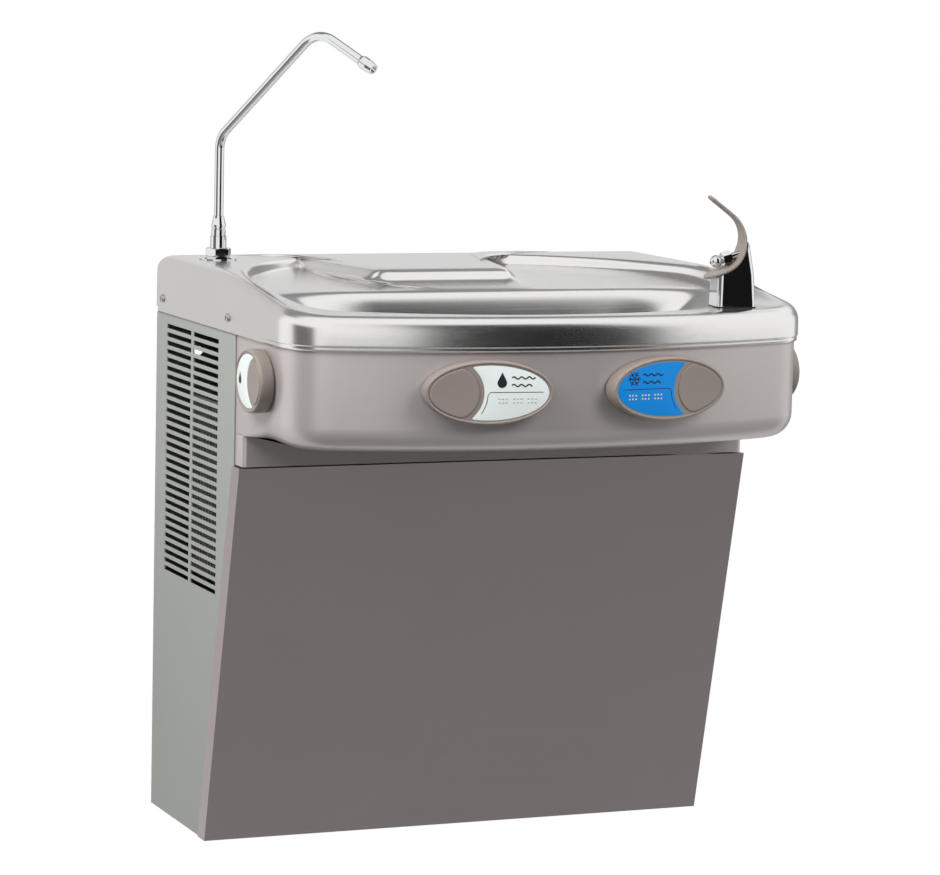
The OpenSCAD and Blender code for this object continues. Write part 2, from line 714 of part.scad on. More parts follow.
module base_pan() {
  w = panel_x - sheet - back_t - 2 * seat - 0.6;
  front = side_low_d + 1;
  color("gainsboro") hang() difference() {
    union() {
      translate([-w, -front, pan_h]) cube([2 * w, front - back_t - 0.6, back_t]);
      for (s = [-1, 1]) translate([s * (w - back_t / 2) - back_t / 2, -front, pan_h]) cube([back_t, front - flange_w - 2, 15]);
      translate([-w + flange_w, -front, sheet + seat]) cube([2 * (w - flange_w), back_t, pan_h]);
      translate([-w + flange_w, -side_low_d - pan_flange + 3, sheet + seat])
        cube([2 * (w - flange_w), pan_flange - 2, back_t]);
    }
    translate([0, -pipe_down_y, 0]) cylinder(r = spigot_r + clear, h = 60);
    translate([inlet[0], inlet[1], 10]) cylinder(r = thread_r + clear, h = 60);
    translate([gland_c[0], gland_c[1], 10]) cylinder(r = 8 + clear, h = 60);
    for (x = panel_screw_x) translate([x, -side_low_d - pan_flange / 2, 0]) cylinder(r = screw_r + run, h = 6, $fn = 24);
    for (x = [-110:12:-20]) translate([x, -110, pan_h - over]) cube([5, 40, 4]);
    at_grommets() translate([0, 0, pan_h - over]) cylinder(r = 4.2, h = 4);
  }
}

// Glass filler

module at_filler() { translate([-filler_x, -filler_y, deck_top]) children(); }

module spout_flange() {
  color("silver") hang() at_filler() difference() {
    rotate_extrude() polygon([[0, 0], [16, 0], [16, 1], [13, 2.2], [11, flange_top], [0, flange_top]]);
    translate([0, 0, -over]) cylinder(r = spout_shank_r + clear / 2, h = 8);
  }
}

spout_shank_l = 26;
body_top = 20;
module spout_body() {
  color("silver") hang() at_filler() difference() {
    union() {
      translate([0, 0, flange_top + 0.1]) intersection() {
        hexagon(spout_hex, 7);
        rotate_extrude() polygon([[0, 0], [10, 0], [11.6, 1.2], [11.6, 5.6], [9.6, 7], [0, 7]]);
      }
      translate([0, 0, flange_top + 0.1]) cylinder(r = 7, h = body_top - flange_top - 0.1);
      translate([0, 0, -spout_shank_l]) cylinder(r = spout_shank_r, h = spout_shank_l + 5);
    }
    translate([0, 0, -spout_shank_l - over]) cylinder(r = 3, h = 60);
    translate([0, 0, body_top - 9]) cylinder(r = tube_r + run, h = 20);
    translate([0, 0, body_top - 2]) cylinder(r = tube_r + 2.2, h = 4);
  }
}

module spout_seal() {
  color("black") hang() at_filler() translate([0, 0, body_top - 1]) rotate_extrude()
    translate([tube_r + run + 0.9, 0]) circle(r = 0.9, $fn = 24);
}

module spout_gland_nut() {
  color("silver") hang() at_filler() translate([0, 0, body_top + seat]) difference() {
    rotate_extrude() polygon([[0, 0], [6.2, 0], [6.2, 5.5], [5.6, 6], [5.6, 7], [6.2, 7.5], [6.2, 9.5],
      [tube_r + 0.9, gland_h - 2], [tube_r + 0.9, gland_h], [0, gland_h]]);
    translate([0, 0, -over]) cylinder(r = tube_r + run, h = gland_h + 2 * over);
  }
}

bend_low_c = [bend_low_r, tube_rise];
rise_a = bend_low_c + bend_low_r * [-sin(rise_slope), cos(rise_slope)];
rise_b = rise_a + rise_l * [cos(rise_slope), sin(rise_slope)];
bend_top_c = rise_b + bend_top_r * [sin(rise_slope), -cos(rise_slope)];
fall_a = bend_top_c + bend_top_r * [sin(fall_slope), cos(fall_slope)];
fall_b = fall_a + fall_l * [cos(fall_slope), -sin(fall_slope)];
arm_line = concat(
  [[0, body_top - 8], [0, tube_rise * 0.6]],
  arc(bend_low_c, bend_low_r, 180, 90 + rise_slope, 7),
  arc(bend_top_c, bend_top_r, 90 + rise_slope, 90 - fall_slope, 11),
  [fall_b]);

module along_arm() { at_filler() rotate([0, 0, -filler_turn]) children(); }

module spout_tube() {
  color("silver") hang() along_arm() hose([for (q = arm_line) [q[0], 0, q[1]]], tube_r, 1, 24);
}

module spout_tip() {
  color("silver") hang() along_arm() translate([fall_b[0], 0, fall_b[1]]) rotate([0, 90 + fall_slope, 0])
    translate([0, 0, -nozzle_l + 2]) difference() {
      rotate_extrude() polygon([[0, 0], [tube_r + 0.6, 0], [tube_r + 1.6, 2.5], [tube_r + 1.6, 9], [tube_r + 0.6, nozzle_l], [0, nozzle_l]]);
      translate([0, 0, -over]) cylinder(r = tube_r + 0.02, h = nozzle_l - 1);
      cylinder(r = tube_r - 0.8, h = nozzle_l + over);
    }
}

// Nuts under the deck, on the shanks of the filler and the bubbler
module deck_lock_nuts() {
  color("goldenrod") hang() {
    translate([-filler_x, -filler_y, deck_top - basin_t - seat - 6]) difference() {
      hexagon(19, 6);
      translate([0, 0, -over]) cylinder(r = spout_shank_r + run, h = 9);
    }
    translate([bubbler_x, -bubbler_y, rim_top - basin_t - seat - 5]) difference() {
      hexagon(15, 5);
      translate([0, 0, -over]) cylinder(r = bubbler_shank_r + run, h = 9);
    }
  }
}

// Bubbler. Its own frame has X towards the jet, which points to the left over the bowl.

module at_bubbler() { translate([bubbler_x, -bubbler_y, rim_top]) rotate([0, 0, 174]) children(); }

function rounded(w, d, r, n = 6) = concat(
  arc([w / 2 - r, d / 2 - r], r, 0, 90, n), arc([-w / 2 + r, d / 2 - r], r, 90, 180, n),
  arc([-w / 2 + r, -d / 2 + r], r, 180, 270, n), arc([w / 2 - r, -d / 2 + r], r, 270, 360, n));

module bubbler_gasket() {
  color("black") hang() at_bubbler() difference() {
    translate([0, 0, 0.1]) linear_extrude(gasket_t - 0.2) polygon(rounded(35, 27, 5.5));
    translate([0, 0, -over]) cylinder(r = bubbler_shank_r + clear, h = 4);
  }
}

// The guard's middle line from its low tip to its high tip
function guard_at(u) =
  let (a = 180 + guard_low_turn - (guard_low_turn + guard_top_turn) * u)
  [guard_u + guard_arc_r * cos(a), guard_up + guard_arc_r * sin(a)];
guard_n = 10;
guard_line = concat(
  [for (i = [5:-1:1]) guard_at(0) + guard_low_l * i / 5 * [sin(guard_low_turn), -cos(guard_low_turn)]],
  [for (i = [0:guard_n]) guard_at(i / guard_n)],
  [for (i = [1:5]) guard_at(1) + guard_top_l * i / 5 * [sin(guard_top_turn), cos(guard_top_turn)]]);

// Width of the guard at a distance from its low tip: a broad leaf below, a narrow arm above
guard_l = guard_low_l + guard_arc_r * (guard_low_turn + guard_top_turn) * PI / 180 + guard_top_l;
function round_end(s, l) = s < l ? sqrt(max(0.03, 1 - pow(1 - s / l, 2))) : 1;
function guard_wide(s) = (guard_arm_w + (guard_w - guard_arm_w) * (1 - ease(min(1, max(0, s - guard_leaf_l) / 60))))
  * round_end(s, guard_leaf_l) * round_end(guard_l - s, guard_arm_w / 2);

module guard_leaf() {
  n = len(guard_line) - 1;
  step = [for (i = [0:n - 1]) norm(guard_line[i + 1] - guard_line[i])];
  way = [for (i = 0, s = 0; i <= n; s = s + (i < n ? step[i] : 0), i = i + 1) s];
  rings = [for (i = [0:n])
    let (p = guard_line[i], q = guard_line[min(n, i + 1)] - guard_line[max(0, i - 1)], d = unit(q),
         out = [-d[1], d[0]], w = guard_wide(way[i]) / 2, t = guard_t / 2, c = min(1, w / 3))
    [for (s = [[-w, -t + c], [-w + c, -t], [w - c, -t], [w, -t + c], [w, t - c], [w - c, t], [-w + c, t], [-w, t - c]])
      [p[0] + out[0] * s[1], s[0], p[1] + out[1] * s[1]]]];
  skin(rings);
}

nozzle_tilt = 16.5;
nozzle_at = [-3, guard_up - 12];
nozzle_r = 3;
nozzle_hex = 10.5;
module nozzle_axis() { translate([nozzle_at[0], 0, nozzle_at[1]]) rotate([0, 90 + nozzle_tilt, 0]) children(); }

module mouth_guard() {
  color("gray") hang() at_bubbler() difference() {
    guard_leaf();
    nozzle_axis() translate([0, 0, -14]) cylinder(r = nozzle_hex / sqrt(3) + clear, h = 26);
  }
}

module bubbler_body() {
  e = [[0, -17, 17, 26, 5], [1.5, -17, 17, 26, 5], [26, -15.3, 16.5, 25, 5], [bubbler_h - 4, -11.5, 14, 22, 5],
       [bubbler_h - 1.2, -10.4, 12, 20, 4.5], [bubbler_h, -7.5, 10, 16, 4]];
  color("silver") hang() at_bubbler() difference() {
    union() {
      skin([for (q = e) [for (p = rounded(q[2] - q[1], q[3], q[4])) [p[0] + (q[1] + q[2]) / 2, p[1], gasket_t + q[0]]]]);
      translate([0, 0, -24]) cylinder(r = bubbler_shank_r, h = 26);
    }
    translate([guard_u, 0, guard_up]) rotate([90, 0, 0])
      cylinder(r = guard_arc_r + guard_t / 2 + seat, h = 40, center = true, $fn = 120);
    translate([guard_at(0)[0], 0, guard_at(0)[1]]) rotate([0, 90 - guard_low_turn, 0])
      translate([0, -20, -guard_t / 2 - seat]) cube([40, 40, 40]);
    nozzle_axis() translate([0, 0, -8]) cylinder(r = nozzle_r + run, h = 20);
    translate([0, 0, -26]) cylinder(r = 3, h = 40);
  }
}

module bubbler_nozzle() {
  color("silver") hang() at_bubbler() nozzle_axis() difference() {
    union() {
      translate([0, 0, -7.5]) cylinder(r = nozzle_r, h = 26);
      translate([0, 0, 6]) hexagon(nozzle_hex, 7.5);
      translate([0, 0, 19]) sphere(r = nozzle_hex / 2);
    }
    translate([0, 0, 4]) cylinder(r = 1.4, h = 26);
  }
}

// Waste

module at_waste() { translate([0, -waste_y, floor_h - waste_step]) children(); }

module drain_strainer() {
  color("silver") hang() at_waste() difference() {
    union() {
      translate([0, 0, 0.1]) rotate_extrude() polygon([[0, 0], [waste_r + 6, 0], [waste_r + 6, 0.6], [waste_r + 4, 1.8], [0, 1.8]]);
      translate([0, 0, -18]) cylinder(r = waste_r - 1, h = 18.2);
    }
    translate([0, 0, -18 - over]) cylinder(r = waste_r - 3, h = 18.5);
    for (ring_i = [1, 2], k = [0:6 * ring_i - 1]) rotate([0, 0, 60 * k / ring_i])
      translate([5.2 * ring_i, 0, -over]) cylinder(r = 1.8, h = 6, $fn = 24);
    translate([0, 0, -over]) cylinder(r = 1.8, h = 6, $fn = 24);
  }
}

module drain_seal() {
  color("black") hang() at_waste() translate([0, 0, -basin_t - 0.1 - 2]) ring(waste_r + 6, waste_r - 1 + run, 2);
}

module drain_nut() {
  color("white") hang() at_waste() translate([0, 0, -basin_t - 0.2 - 2 - 7]) difference() {
    hexagon(2 * (waste_r + 4), 7);
    translate([0, 0, -over]) cylinder(r = waste_r - 1 + run, h = 9);
  }
}

pipe_top = floor_h - waste_step - 18 - seat;
module elbow(start) {
  rotate([90, 0, 90]) rotate([0, 0, start]) rotate_extrude(angle = 90) translate([pipe_bend, 0]) circle(r = pipe_r);
}

module drain_pipe() {
  y0 = -waste_y + pipe_bend;
  y1 = -pipe_down_y - pipe_bend;
  color("white") hang() difference() {
    union() {
      translate([0, y0, pipe_top]) elbow(180);
      translate([0, y0, pipe_top - pipe_bend]) rotate([-90, 0, 0]) cylinder(r = pipe_r, h = y1 - y0);
      translate([0, y1, pipe_top - 2 * pipe_bend]) elbow(0);
      translate([0, -pipe_down_y, 4]) cylinder(r = pipe_r, h = pipe_top - 2 * pipe_bend - 4);
      translate([0, -pipe_down_y, 4]) cylinder(r = spigot_r, h = spigot_l);
      translate([0, -pipe_down_y, pan_h + back_t + seat]) cylinder(r = spigot_r + 4, h = 3);
    }
    translate([0, -pipe_down_y, 3]) cylinder(r = pipe_r - 2, h = 40);
  }
}

// Cooling unit

module at_grommets() {
  for (x = [-1, 1], y = [-1, 1]) translate([comp[0] + x * grommet_x, comp[1] + y * grommet_y, 0]) children();
}

module compressor() {
  z = foot_h + 3;
  color("black") hang() difference() {
    union() {
      translate([comp[0], comp[1], z]) rotate_extrude($fn = 72) polygon(concat(
        [[0, 0], [comp_r - 14, 0]], arc([comp_r - 12, 12], 12, -90, 0, 6),
        [[comp_r, comp_h * 0.5], [comp_r + 2.5, comp_h * 0.5], [comp_r + 2.5, comp_h * 0.5 + 4], [comp_r, comp_h * 0.5 + 4]],
        arc([comp_r - 26, comp_h - 26], 26, 0, 90, 8), [[0, comp_h]]));
      translate([comp[0] - grommet_x - 12, comp[1] - grommet_y - 12, foot_h + seat]) cube([2 * grommet_x + 24, 2 * grommet_y + 24, 3]);
      translate([comp[0] + 20, comp[1], z + comp_h - 3]) cylinder(r = 4, h = 15);
      translate([comp[0] - comp_r - 6, comp[1] - 20, z + 30]) rotate([0, 90, 0]) cylinder(r = 3, h = 20);
    }
    at_grommets() translate([0, 0, foot_h]) cylinder(r = 6 + clear, h = 4);
  }
}

module compressor_grommets() {
  color("black") hang() at_grommets() {
    translate([0, 0, foot_h - grommet_h + 0.1]) cylinder(r = grommet_r, h = grommet_h - 0.1);
    translate([0, 0, foot_h - 1]) cylinder(r = 6, h = 6);
    translate([0, 0, foot_h - grommet_h - 2]) cylinder(r = 4, h = 4);
  }
}

module terminal_cover() {
  color("dimgray") hang() difference() {
    translate([comp[0] - comp_r - 20, comp[1] - 12, foot_h + 50]) cube([40, 44, 48]);
    translate([comp[0], comp[1], 0]) cylinder(r = comp_r + 2.5 + seat, h = 200, $fn = 72);
  }
}

function coil_z(i) = coil_low + i * coil_pitch;
coil_y0 = -40;
coil_y1 = -148;
module condenser_coil() {
  color("peru") hang() {
    for (i = [0:coil_runs - 1]) between([coil_x, coil_y0, coil_z(i)], [coil_x, coil_y1, coil_z(i)], coil_r);
    for (i = [0:coil_runs - 2]) translate([coil_x, i % 2 == 0 ? coil_y1 : coil_y0, coil_z(i) + coil_pitch / 2])
      rotate([90, 0, i % 2 == 0 ? -90 : 90]) rotate([0, 0, -90]) rotate_extrude(angle = 180) translate([coil_pitch / 2, 0]) circle(r = coil_r);
  }
}

fin_w = 26;
fin_low = coil_low - 12;
fin_h = (coil_runs - 1) * coil_pitch + 24;
module condenser_fins() {
  color("lightsteelblue") hang() difference() {
    for (y = [-50:-7.5:-140]) translate([coil_x - fin_w / 2, y - 0.5, fin_low]) cube([fin_w, 1, fin_h]);
    for (i = [0:coil_runs - 1]) between([coil_x, coil_y0 + 9, coil_z(i)], [coil_x, coil_y1 - 9, coil_z(i)], coil_r + run);
  }
}

module fan_shroud() {
  y1 = 156;
  color("gainsboro") hang() difference() {
    union() {
      translate([fan_x, -y1, fin_low - 2]) cube([back_t, y1 - back_t - seat, fin_h + 4]);
      for (z = [fin_low - 2, fin_low + fin_h + 0.8]) translate([coil_x - fin_w / 2, -142, z]) cube([fan_x - coil_x + fin_w / 2 + 1, 94, back_t]);
      translate([fan_x, 0, fan_c[1]]) translate([0, fan_c[0], 0]) rotate([0, 90, 0]) ring(fan_r + 3.5, fan_r + 2.5, 12);
      translate([fan_x, -flange_w - back_t - seat, fin_low - 2]) cube([14, back_t, fin_h + 4]);
    }
    translate([fan_x - over, fan_c[0], fan_c[1]]) rotate([0, 90, 0]) cylinder(r = fan_r + 2.5, h = 4);
  }
}

motor_x = -150;
motor_l = 32;
module fan_motor() {
  color("dimgray") hang() difference() {
    union() {
      translate([motor_x, fan_c[0], fan_c[1]]) rotate([0, 90, 0]) cylinder(r = 24, h = motor_l);
      for (s = [-1, 1]) {
        translate([motor_x + motor_l - 2, fan_c[0] - 6, fan_c[1] + s * 42 - 24]) cube([2, 12, 48]);
        translate([fan_x + back_t + seat, fan_c[0] - 6, fan_c[1] + s * 65 - 1]) cube([motor_x + motor_l - fan_x - back_t - seat, 12, 2]);
      }
    }
    translate([motor_x - over, fan_c[0], fan_c[1]]) rotate([0, 90, 0]) cylinder(r = 2 + run, h = 20);
  }
}

module fan_shaft() {
  color("silver") hang() translate([fan_x + 4, fan_c[0], fan_c[1]]) rotate([0, 90, 0]) cylinder(r = 2, h = 40);
}

module fan_blade() {
  color("white") hang() translate([fan_x + 4, fan_c[0], fan_c[1]]) rotate([0, 90, 0]) difference() {
    union() {
      cylinder(r = 14, h = 14);
      intersection() {
        translate([0, 0, 0.5]) cylinder(r = fan_r, h = 13);
        for (k = [0:blades - 1]) rotate([0, 0, 360 * k / blades]) translate([0, 0, 7]) rotate([28, 0, 0])
          translate([10, -17, -0.9]) cube([fan_r, 34, 1.8]);
      }
    }
    translate([0, 0, -over]) cylinder(r = 2.02, h = 20);
  }
}

module tank_shelf() {
  x0 = tank[0] - 63;
  color("gainsboro") hang() {
    translate([x0, -156, tank_shelf_h]) cube([126, 156 - back_t - seat, shelf_t]);
    translate([x0, -2 * back_t - seat, tank_shelf_h - 20]) cube([126, back_t, 21]);
    for (x = [x0, x0 + 126 - shelf_t]) translate([x, 0, tank_shelf_h]) rotate([90, 0, 90]) linear_extrude(shelf_t)
      polygon([[-back_t - seat, 0.5], [-156, 0.5], [-156, -8], [-back_t - seat, -20]]);
  }
}

module cold_tank() {
  color("silver") hang() translate([tank[0], tank[1], tank_low]) {
    rotate_extrude($fn = 72) polygon(concat([[0, 0]], arc([tank_r - 14, 14], 14, -90, 0, 6), arc([tank_r - 14, tank_h - 14], 14, 0, 90, 6), [[0, tank_h]]));
    translate([0, 0, tank_h - 1]) cylinder(r = 4, h = tank_insulation_top - tank_low - tank_h + 9);
  }
}

tank_insulation_top = tank_low + tank_h + 27;
cavity_r = tank_r + 8;
module tank_insulation() {
  z0 = tank_shelf_h + shelf_t + seat;
  color("white") hang() for (s = [-1, 1]) difference() {
    translate([tank[0] - 62, s < 0 ? -155 : tank[1] + 0.1, z0])
      cube([124, s < 0 ? 155 + tank[1] - 0.1 : -tank[1] - 0.1 - 2 * back_t - 2 * seat, tank_insulation_top - z0]);
    translate([tank[0], tank[1], tank_low - 0.3]) cylinder(r = cavity_r, h = tank_h + 0.6, $fn = 72);
    translate([tank[0], tank[1], tank_low]) cylinder(r = 4 + run, h = 300);
    translate([tank[0], tank[1] - tank_r - 3.8, z0 - over]) cylinder(r = 3.3, h = 40);
  }
}

// One unbroken helix round the tank
evap_r = 3;
evap_steps = 16;
module evaporator_coil() {
  c_r = tank_r + evap_r + 1.2;
  pitch = (tank_h - 30) / evap_turns;
  n = evap_turns * evap_steps;
  rings = [for (i = [0:n]) let (a = -90 + 360 * i / evap_steps)
    [for (k = [0:5]) let (b = 60 * k)
      [(c_r + evap_r * cos(b)) * cos(a), (c_r + evap_r * cos(b)) * sin(a), 15 + pitch * i / evap_steps + evap_r * sin(b)]]];
  color("peru") hang() translate([tank[0], tank[1], tank_low]) skin([for (r = rings) [for (k = [5:-1:0]) r[k]]]);
}

module filter_cartridge() {
  color("white") hang() translate([filter_c[0], filter_c[1], filter_low]) rotate_extrude($fn = 64)
    polygon(concat([[0, 0]], arc([filter_r - 8, 8], 8, -90, 0, 5), [[filter_r, filter_h - 14], [filter_r + 1.5, filter_h - 14], [filter_r + 1.5, filter_h], [0, filter_h]]));
}

head_z = filter_low + filter_h + seat;
module filter_head() {
  color("navy") hang() {
    translate([filter_c[0], filter_c[1], head_z]) cylinder(r = filter_r + 2, h = 24);
    translate([filter_c[0] - 18, filter_c[1], head_z]) cube([36, -filter_c[1] - back_t - seat, 24]);
    translate([filter_c[0], filter_c[1], head_z + 10]) rotate([0, 90, 0]) cylinder(r = 6, h = 40);
    translate([filter_c[0] - 40, filter_c[1], head_z + 10]) rotate([0, 90, 0]) cylinder(r = 6, h = 40);
  }
}

valve_x = 34;
valve_z = [250, 310];
module solenoid_valves() {
  color("white") hang() for (z = valve_z) {
    translate([valve_x - 14, -34, z]) cube([28, 34 - back_t - seat, 20]);
    translate([valve_x, -20, z + 19]) cylinder(r = 12, h = 26);
    translate([valve_x - 20, -22, z + 10]) rotate([0, 90, 0]) cylinder(r = 5, h = 40);
  }
}

module inlet_fitting() {
  color("goldenrod") hang() translate([inlet[0], inlet[1], 0]) difference() {
    union() {
      translate([0, 0, 4]) cylinder(r = thread_r, h = thread_l);
      translate([0, 0, 4]) cylinder(r = thread_r - 0.6, h = pan_h);
      translate([0, 0, pan_h + back_t + seat]) hexagon(27, 8);
      translate([0, 0, pan_h]) cylinder(r = 6, h = 26);
    }
    translate([0, 0, 3]) cylinder(r = 7.5, h = 20);
  }
}

module cord_gland() {
  color("black") hang() translate([gland_c[0], gland_c[1], 0]) difference() {
    union() {
      translate([0, 0, pan_h - 5]) cylinder(r = 8, h = 16);
      translate([0, 0, pan_h + back_t + seat]) hexagon(22, 5);
      translate([0, 0, pan_h - seat - 5]) hexagon(22, 5);
    }
    translate([0, 0, pan_h - 8]) cylinder(r = 4, h = 30);
  }
}

module thermostat() {
  color("dimgray") hang() difference() {
    translate([knob_c[0] - 20, -38, knob_c[1] - 16]) cube([40, 38 - back_t - seat, 32]);
    translate([knob_c[0], -20, knob_c[1]]) rotate([90, 0, 0]) cylinder(r = 3 + run, h = 30);
  }
}

module thermostat_knob() {
  color("black") hang() translate([knob_c[0], -38 - clear, knob_c[1]]) rotate([90, 0, 0]) {
    difference() {
      cylinder(r = 13, h = 12);
      for (k = [0:11]) rotate([0, 0, 30 * k]) translate([14, 0, 3]) cylinder(r = 2, h = 12, $fn = 24);
    }
    mirror([0, 0, 1]) cylinder(r = 3, h = 12);
    translate([-1, 3, 11]) cube([2, 9, 2]);
  }
}

line_r = 4;
line_bend = 9;
module water_line(points) { sweep(fillet(points, line_bend), line_r); }
module water_lines() {
  fz = head_z + 10;
  color("aliceblue") hang() {
    water_line([[inlet[0], inlet[1], pan_h + 26.2], [inlet[0], inlet[1], 80], [filter_c[0] - 50, filter_c[1], 110],
      [filter_c[0] - 50, filter_c[1], fz], [filter_c[0] - 40.2, filter_c[1], fz]]);
    water_line([[filter_c[0] + 40.2, filter_c[1], fz], [valve_x - 42, filter_c[1], fz], [valve_x - 42, -22, valve_z[1] + 10],
      [valve_x - 20.2, -22, valve_z[1] + 10]]);
    water_line([[valve_x + 20.2, -22, valve_z[1] + 10], [valve_x + 32, -22, valve_z[1] + 10], [valve_x + 32, -22, 440], [-filler_x, -filler_y, 440],
      [-filler_x, -filler_y, deck_top - spout_shank_l - 0.2]]);
    water_line([[tank[0], tank[1], tank_insulation_top + 8.2], [tank[0], tank[1], 426], [tank[0] + 40, -190, 426],
      [bubbler_x + 25, -bubbler_y + 40, 424], [bubbler_x, -bubbler_y, 410], [bubbler_x, -bubbler_y, rim_top - 24.2]]);
  }
}

module refrigerant_lines() {
  z = foot_h + 3;
  color("peru") hang() {
    sweep(fillet([[comp[0] - comp_r - 6.2, comp[1] - 20, z + 30], [35, comp[1] - 20, z + 30], [35, -100, 60], [-120, -100, 60],
      [-185, -100, 150], [coil_x, -100, 200], [coil_x, coil_y0 + 9, 212], [coil_x, coil_y0 + 9, coil_z(0)], [coil_x, coil_y0 + 0.2, coil_z(0)]], 8), 2.5, 8);
  }
}

basin();
apron();
left_side_panel();
right_side_panel();
front_panel();
back_plate();
base_pan();
skirt_screws();
panel_screws();
spout_flange();
spout_body();
spout_gland_nut();
spout_tube();
spout_tip();
spout_seal();
deck_lock_nuts();
bubbler_body();
bubbler_nozzle();
mouth_guard();
bubbler_gasket();
drain_strainer();
drain_seal();
drain_nut();
drain_pipe();
front_bezels();
side_bezels();
front_left_button();
front_right_button();
left_side_button();
right_side_button();
front_left_spring();
front_right_spring();
left_side_spring();
right_side_spring();
natural_labels();
chilled_labels();
bezel_nuts();
button_switches();
compressor();
compressor_grommets();
terminal_cover();
condenser_fins();
condenser_coil();
fan_shroud();
fan_motor();
fan_shaft();
fan_blade();
tank_shelf();
cold_tank();
tank_insulation();
evaporator_coil();
filter_cartridge();
filter_head();
solenoid_valves();
inlet_fitting();
thermostat();
thermostat_knob();
water_lines();
refrigerant_lines();
cord_gland();
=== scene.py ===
"""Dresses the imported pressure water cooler: studio, camera, finishes and the finer pieces.

Sizes are written in millimetres in the cabinet's own coordinates, with Z from the cabinet's
bottom edge, as in the part's source. at() turns them into metres in the frame.
"""

import json
import logging
import math
from collections.abc import Callable, Sequence
from dataclasses import dataclass, field
from enum import Enum

import bmesh
import bpy
from mathutils import Matrix, Vector


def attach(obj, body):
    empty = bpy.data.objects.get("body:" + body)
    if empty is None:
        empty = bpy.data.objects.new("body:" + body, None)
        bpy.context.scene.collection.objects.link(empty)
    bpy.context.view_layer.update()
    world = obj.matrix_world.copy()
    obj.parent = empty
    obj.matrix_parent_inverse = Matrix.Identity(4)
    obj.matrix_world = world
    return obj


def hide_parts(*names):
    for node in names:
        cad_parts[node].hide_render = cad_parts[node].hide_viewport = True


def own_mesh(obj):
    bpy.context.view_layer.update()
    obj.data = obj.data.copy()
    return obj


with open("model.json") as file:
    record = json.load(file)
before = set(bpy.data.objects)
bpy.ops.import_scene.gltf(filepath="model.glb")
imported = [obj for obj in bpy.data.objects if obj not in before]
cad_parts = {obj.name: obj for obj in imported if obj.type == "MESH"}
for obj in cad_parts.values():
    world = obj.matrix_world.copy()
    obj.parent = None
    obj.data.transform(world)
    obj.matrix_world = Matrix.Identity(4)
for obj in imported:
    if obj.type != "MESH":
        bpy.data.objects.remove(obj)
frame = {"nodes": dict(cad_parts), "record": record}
log = logging.getLogger("cooler")

Mesh = bmesh.types.BMesh
Object = bpy.types.Object
Socket = bpy.types.NodeSocket
Material = bpy.types.Material
Point = Sequence[float]
Ring = list[Vector]
Pair = tuple[float, float]
Plan = list[Pair]
Loop = list[bmesh.types.BMEdge]

FIX_H = 250.0


def at(x: float, y: float, z: float) -> Vector:
    """Turns cabinet millimetres into frame metres."""
    return Vector((x, y, z - FIX_H)) / 1000


def linear(code: str, alpha: float = 1.0) -> tuple[float, float, float, float]:
    """Turns an sRGB hex colour into a linear one."""
    parts = [int(code[i : i + 2], 16) / 255 for i in (1, 3, 5)]
    r, g, b = (c / 12.92 if c <= 0.04045 else ((c + 0.055) / 1.055) ** 2.4 for c in parts)
    return r, g, b, alpha


def ease(t: float) -> float:
    """Smooth step from 0 to 1."""
    u = min(1.0, max(0.0, t))
    return u * u * (3 - 2 * u)


# Materials


@dataclass
class Shader:
    """Node tree of one material, with short ways to add and join nodes."""

    name: str
    material: Material = field(init=False)
    surface: bpy.types.Node = field(init=False)

    def __post_init__(self) -> None:
        self.material = bpy.data.materials.new(self.name)
        self.material.use_nodes = True
        self.surface = self.material.node_tree.nodes["Principled BSDF"]

    def add(self, kind: str, **values: object) -> bpy.types.Node:
        """Adds a node.

        Args:
            kind: the node's type name without "ShaderNode".
            values: sockets by name, with _ for a space, or the node's own properties.

        Returns:
            The new node.
        """
        node = self.material.node_tree.nodes.new("ShaderNode" + kind)
        self.fill(node, values)
        return node

    def fill(self, node: bpy.types.Node, values: dict[str, object]) -> None:
        """Sets or links a node's sockets, and sets its own properties."""
        for key, value in values.items():
            socket = node.inputs.get(key.replace("_", " "))
            if isinstance(value, Socket):
                self.join(value, socket)
            elif socket is not None:
                socket.default_value = value
            else:
                setattr(node, key, value)

    def join(self, source: Socket, target: Socket) -> None:
        """Links two sockets."""
        self.material.node_tree.links.new(source, target)

    def set(self, **values: object) -> None:
        """Sets or links sockets of the main surface."""
        self.fill(self.surface, values)

    def noise(self, scale: Point, detail: float = 3.0) -> Socket:
        """Noise in object space.

        Args:
            scale: cycles per metre along X, Y and Z.
            detail: octaves.

        Returns:
            The noise's value socket.
        """
        place = self.add("TexCoord").outputs["Object"]
        grid = self.add("Mapping", Vector=place, Scale=tuple(scale)).outputs["Vector"]
        return self.add("TexNoise", Vector=grid, Scale=1.0, Detail=detail).outputs[0]

    def spread(self, value: Socket, low: float, high: float) -> Socket:
        """Maps the middle of a noise onto low to high."""
        node = self.add("MapRange", Value=value, From_Min=0.3, From_Max=0.7, To_Min=low, To_Max=high)
        return node.outputs[0]

    def shade(self, value: Socket, dark: Point, light: Point) -> Socket:
        """Mixes two colours by a value."""
        mix = self.add("Mix", data_type="RGBA")
        self.join(value, mix.inputs["Factor"])
        mix.inputs[6].default_value = dark
        mix.inputs[7].default_value = light
        return mix.outputs[2]

    def bump(self, height: Socket, depth: float) -> None:
        """Bumps the surface by a height in metres."""
        self.set(Normal=self.add("Bump", Height=height, Strength=1.0, Distance=depth).outputs[0])


class Grain(Enum):
    """Direction of a metal's polishing lines, as cycles per metre along X, Y and Z."""

    ALONG_X = (6.0, 900.0, 900.0)
    BLASTED = (1500.0, 1500.0, 1500.0)


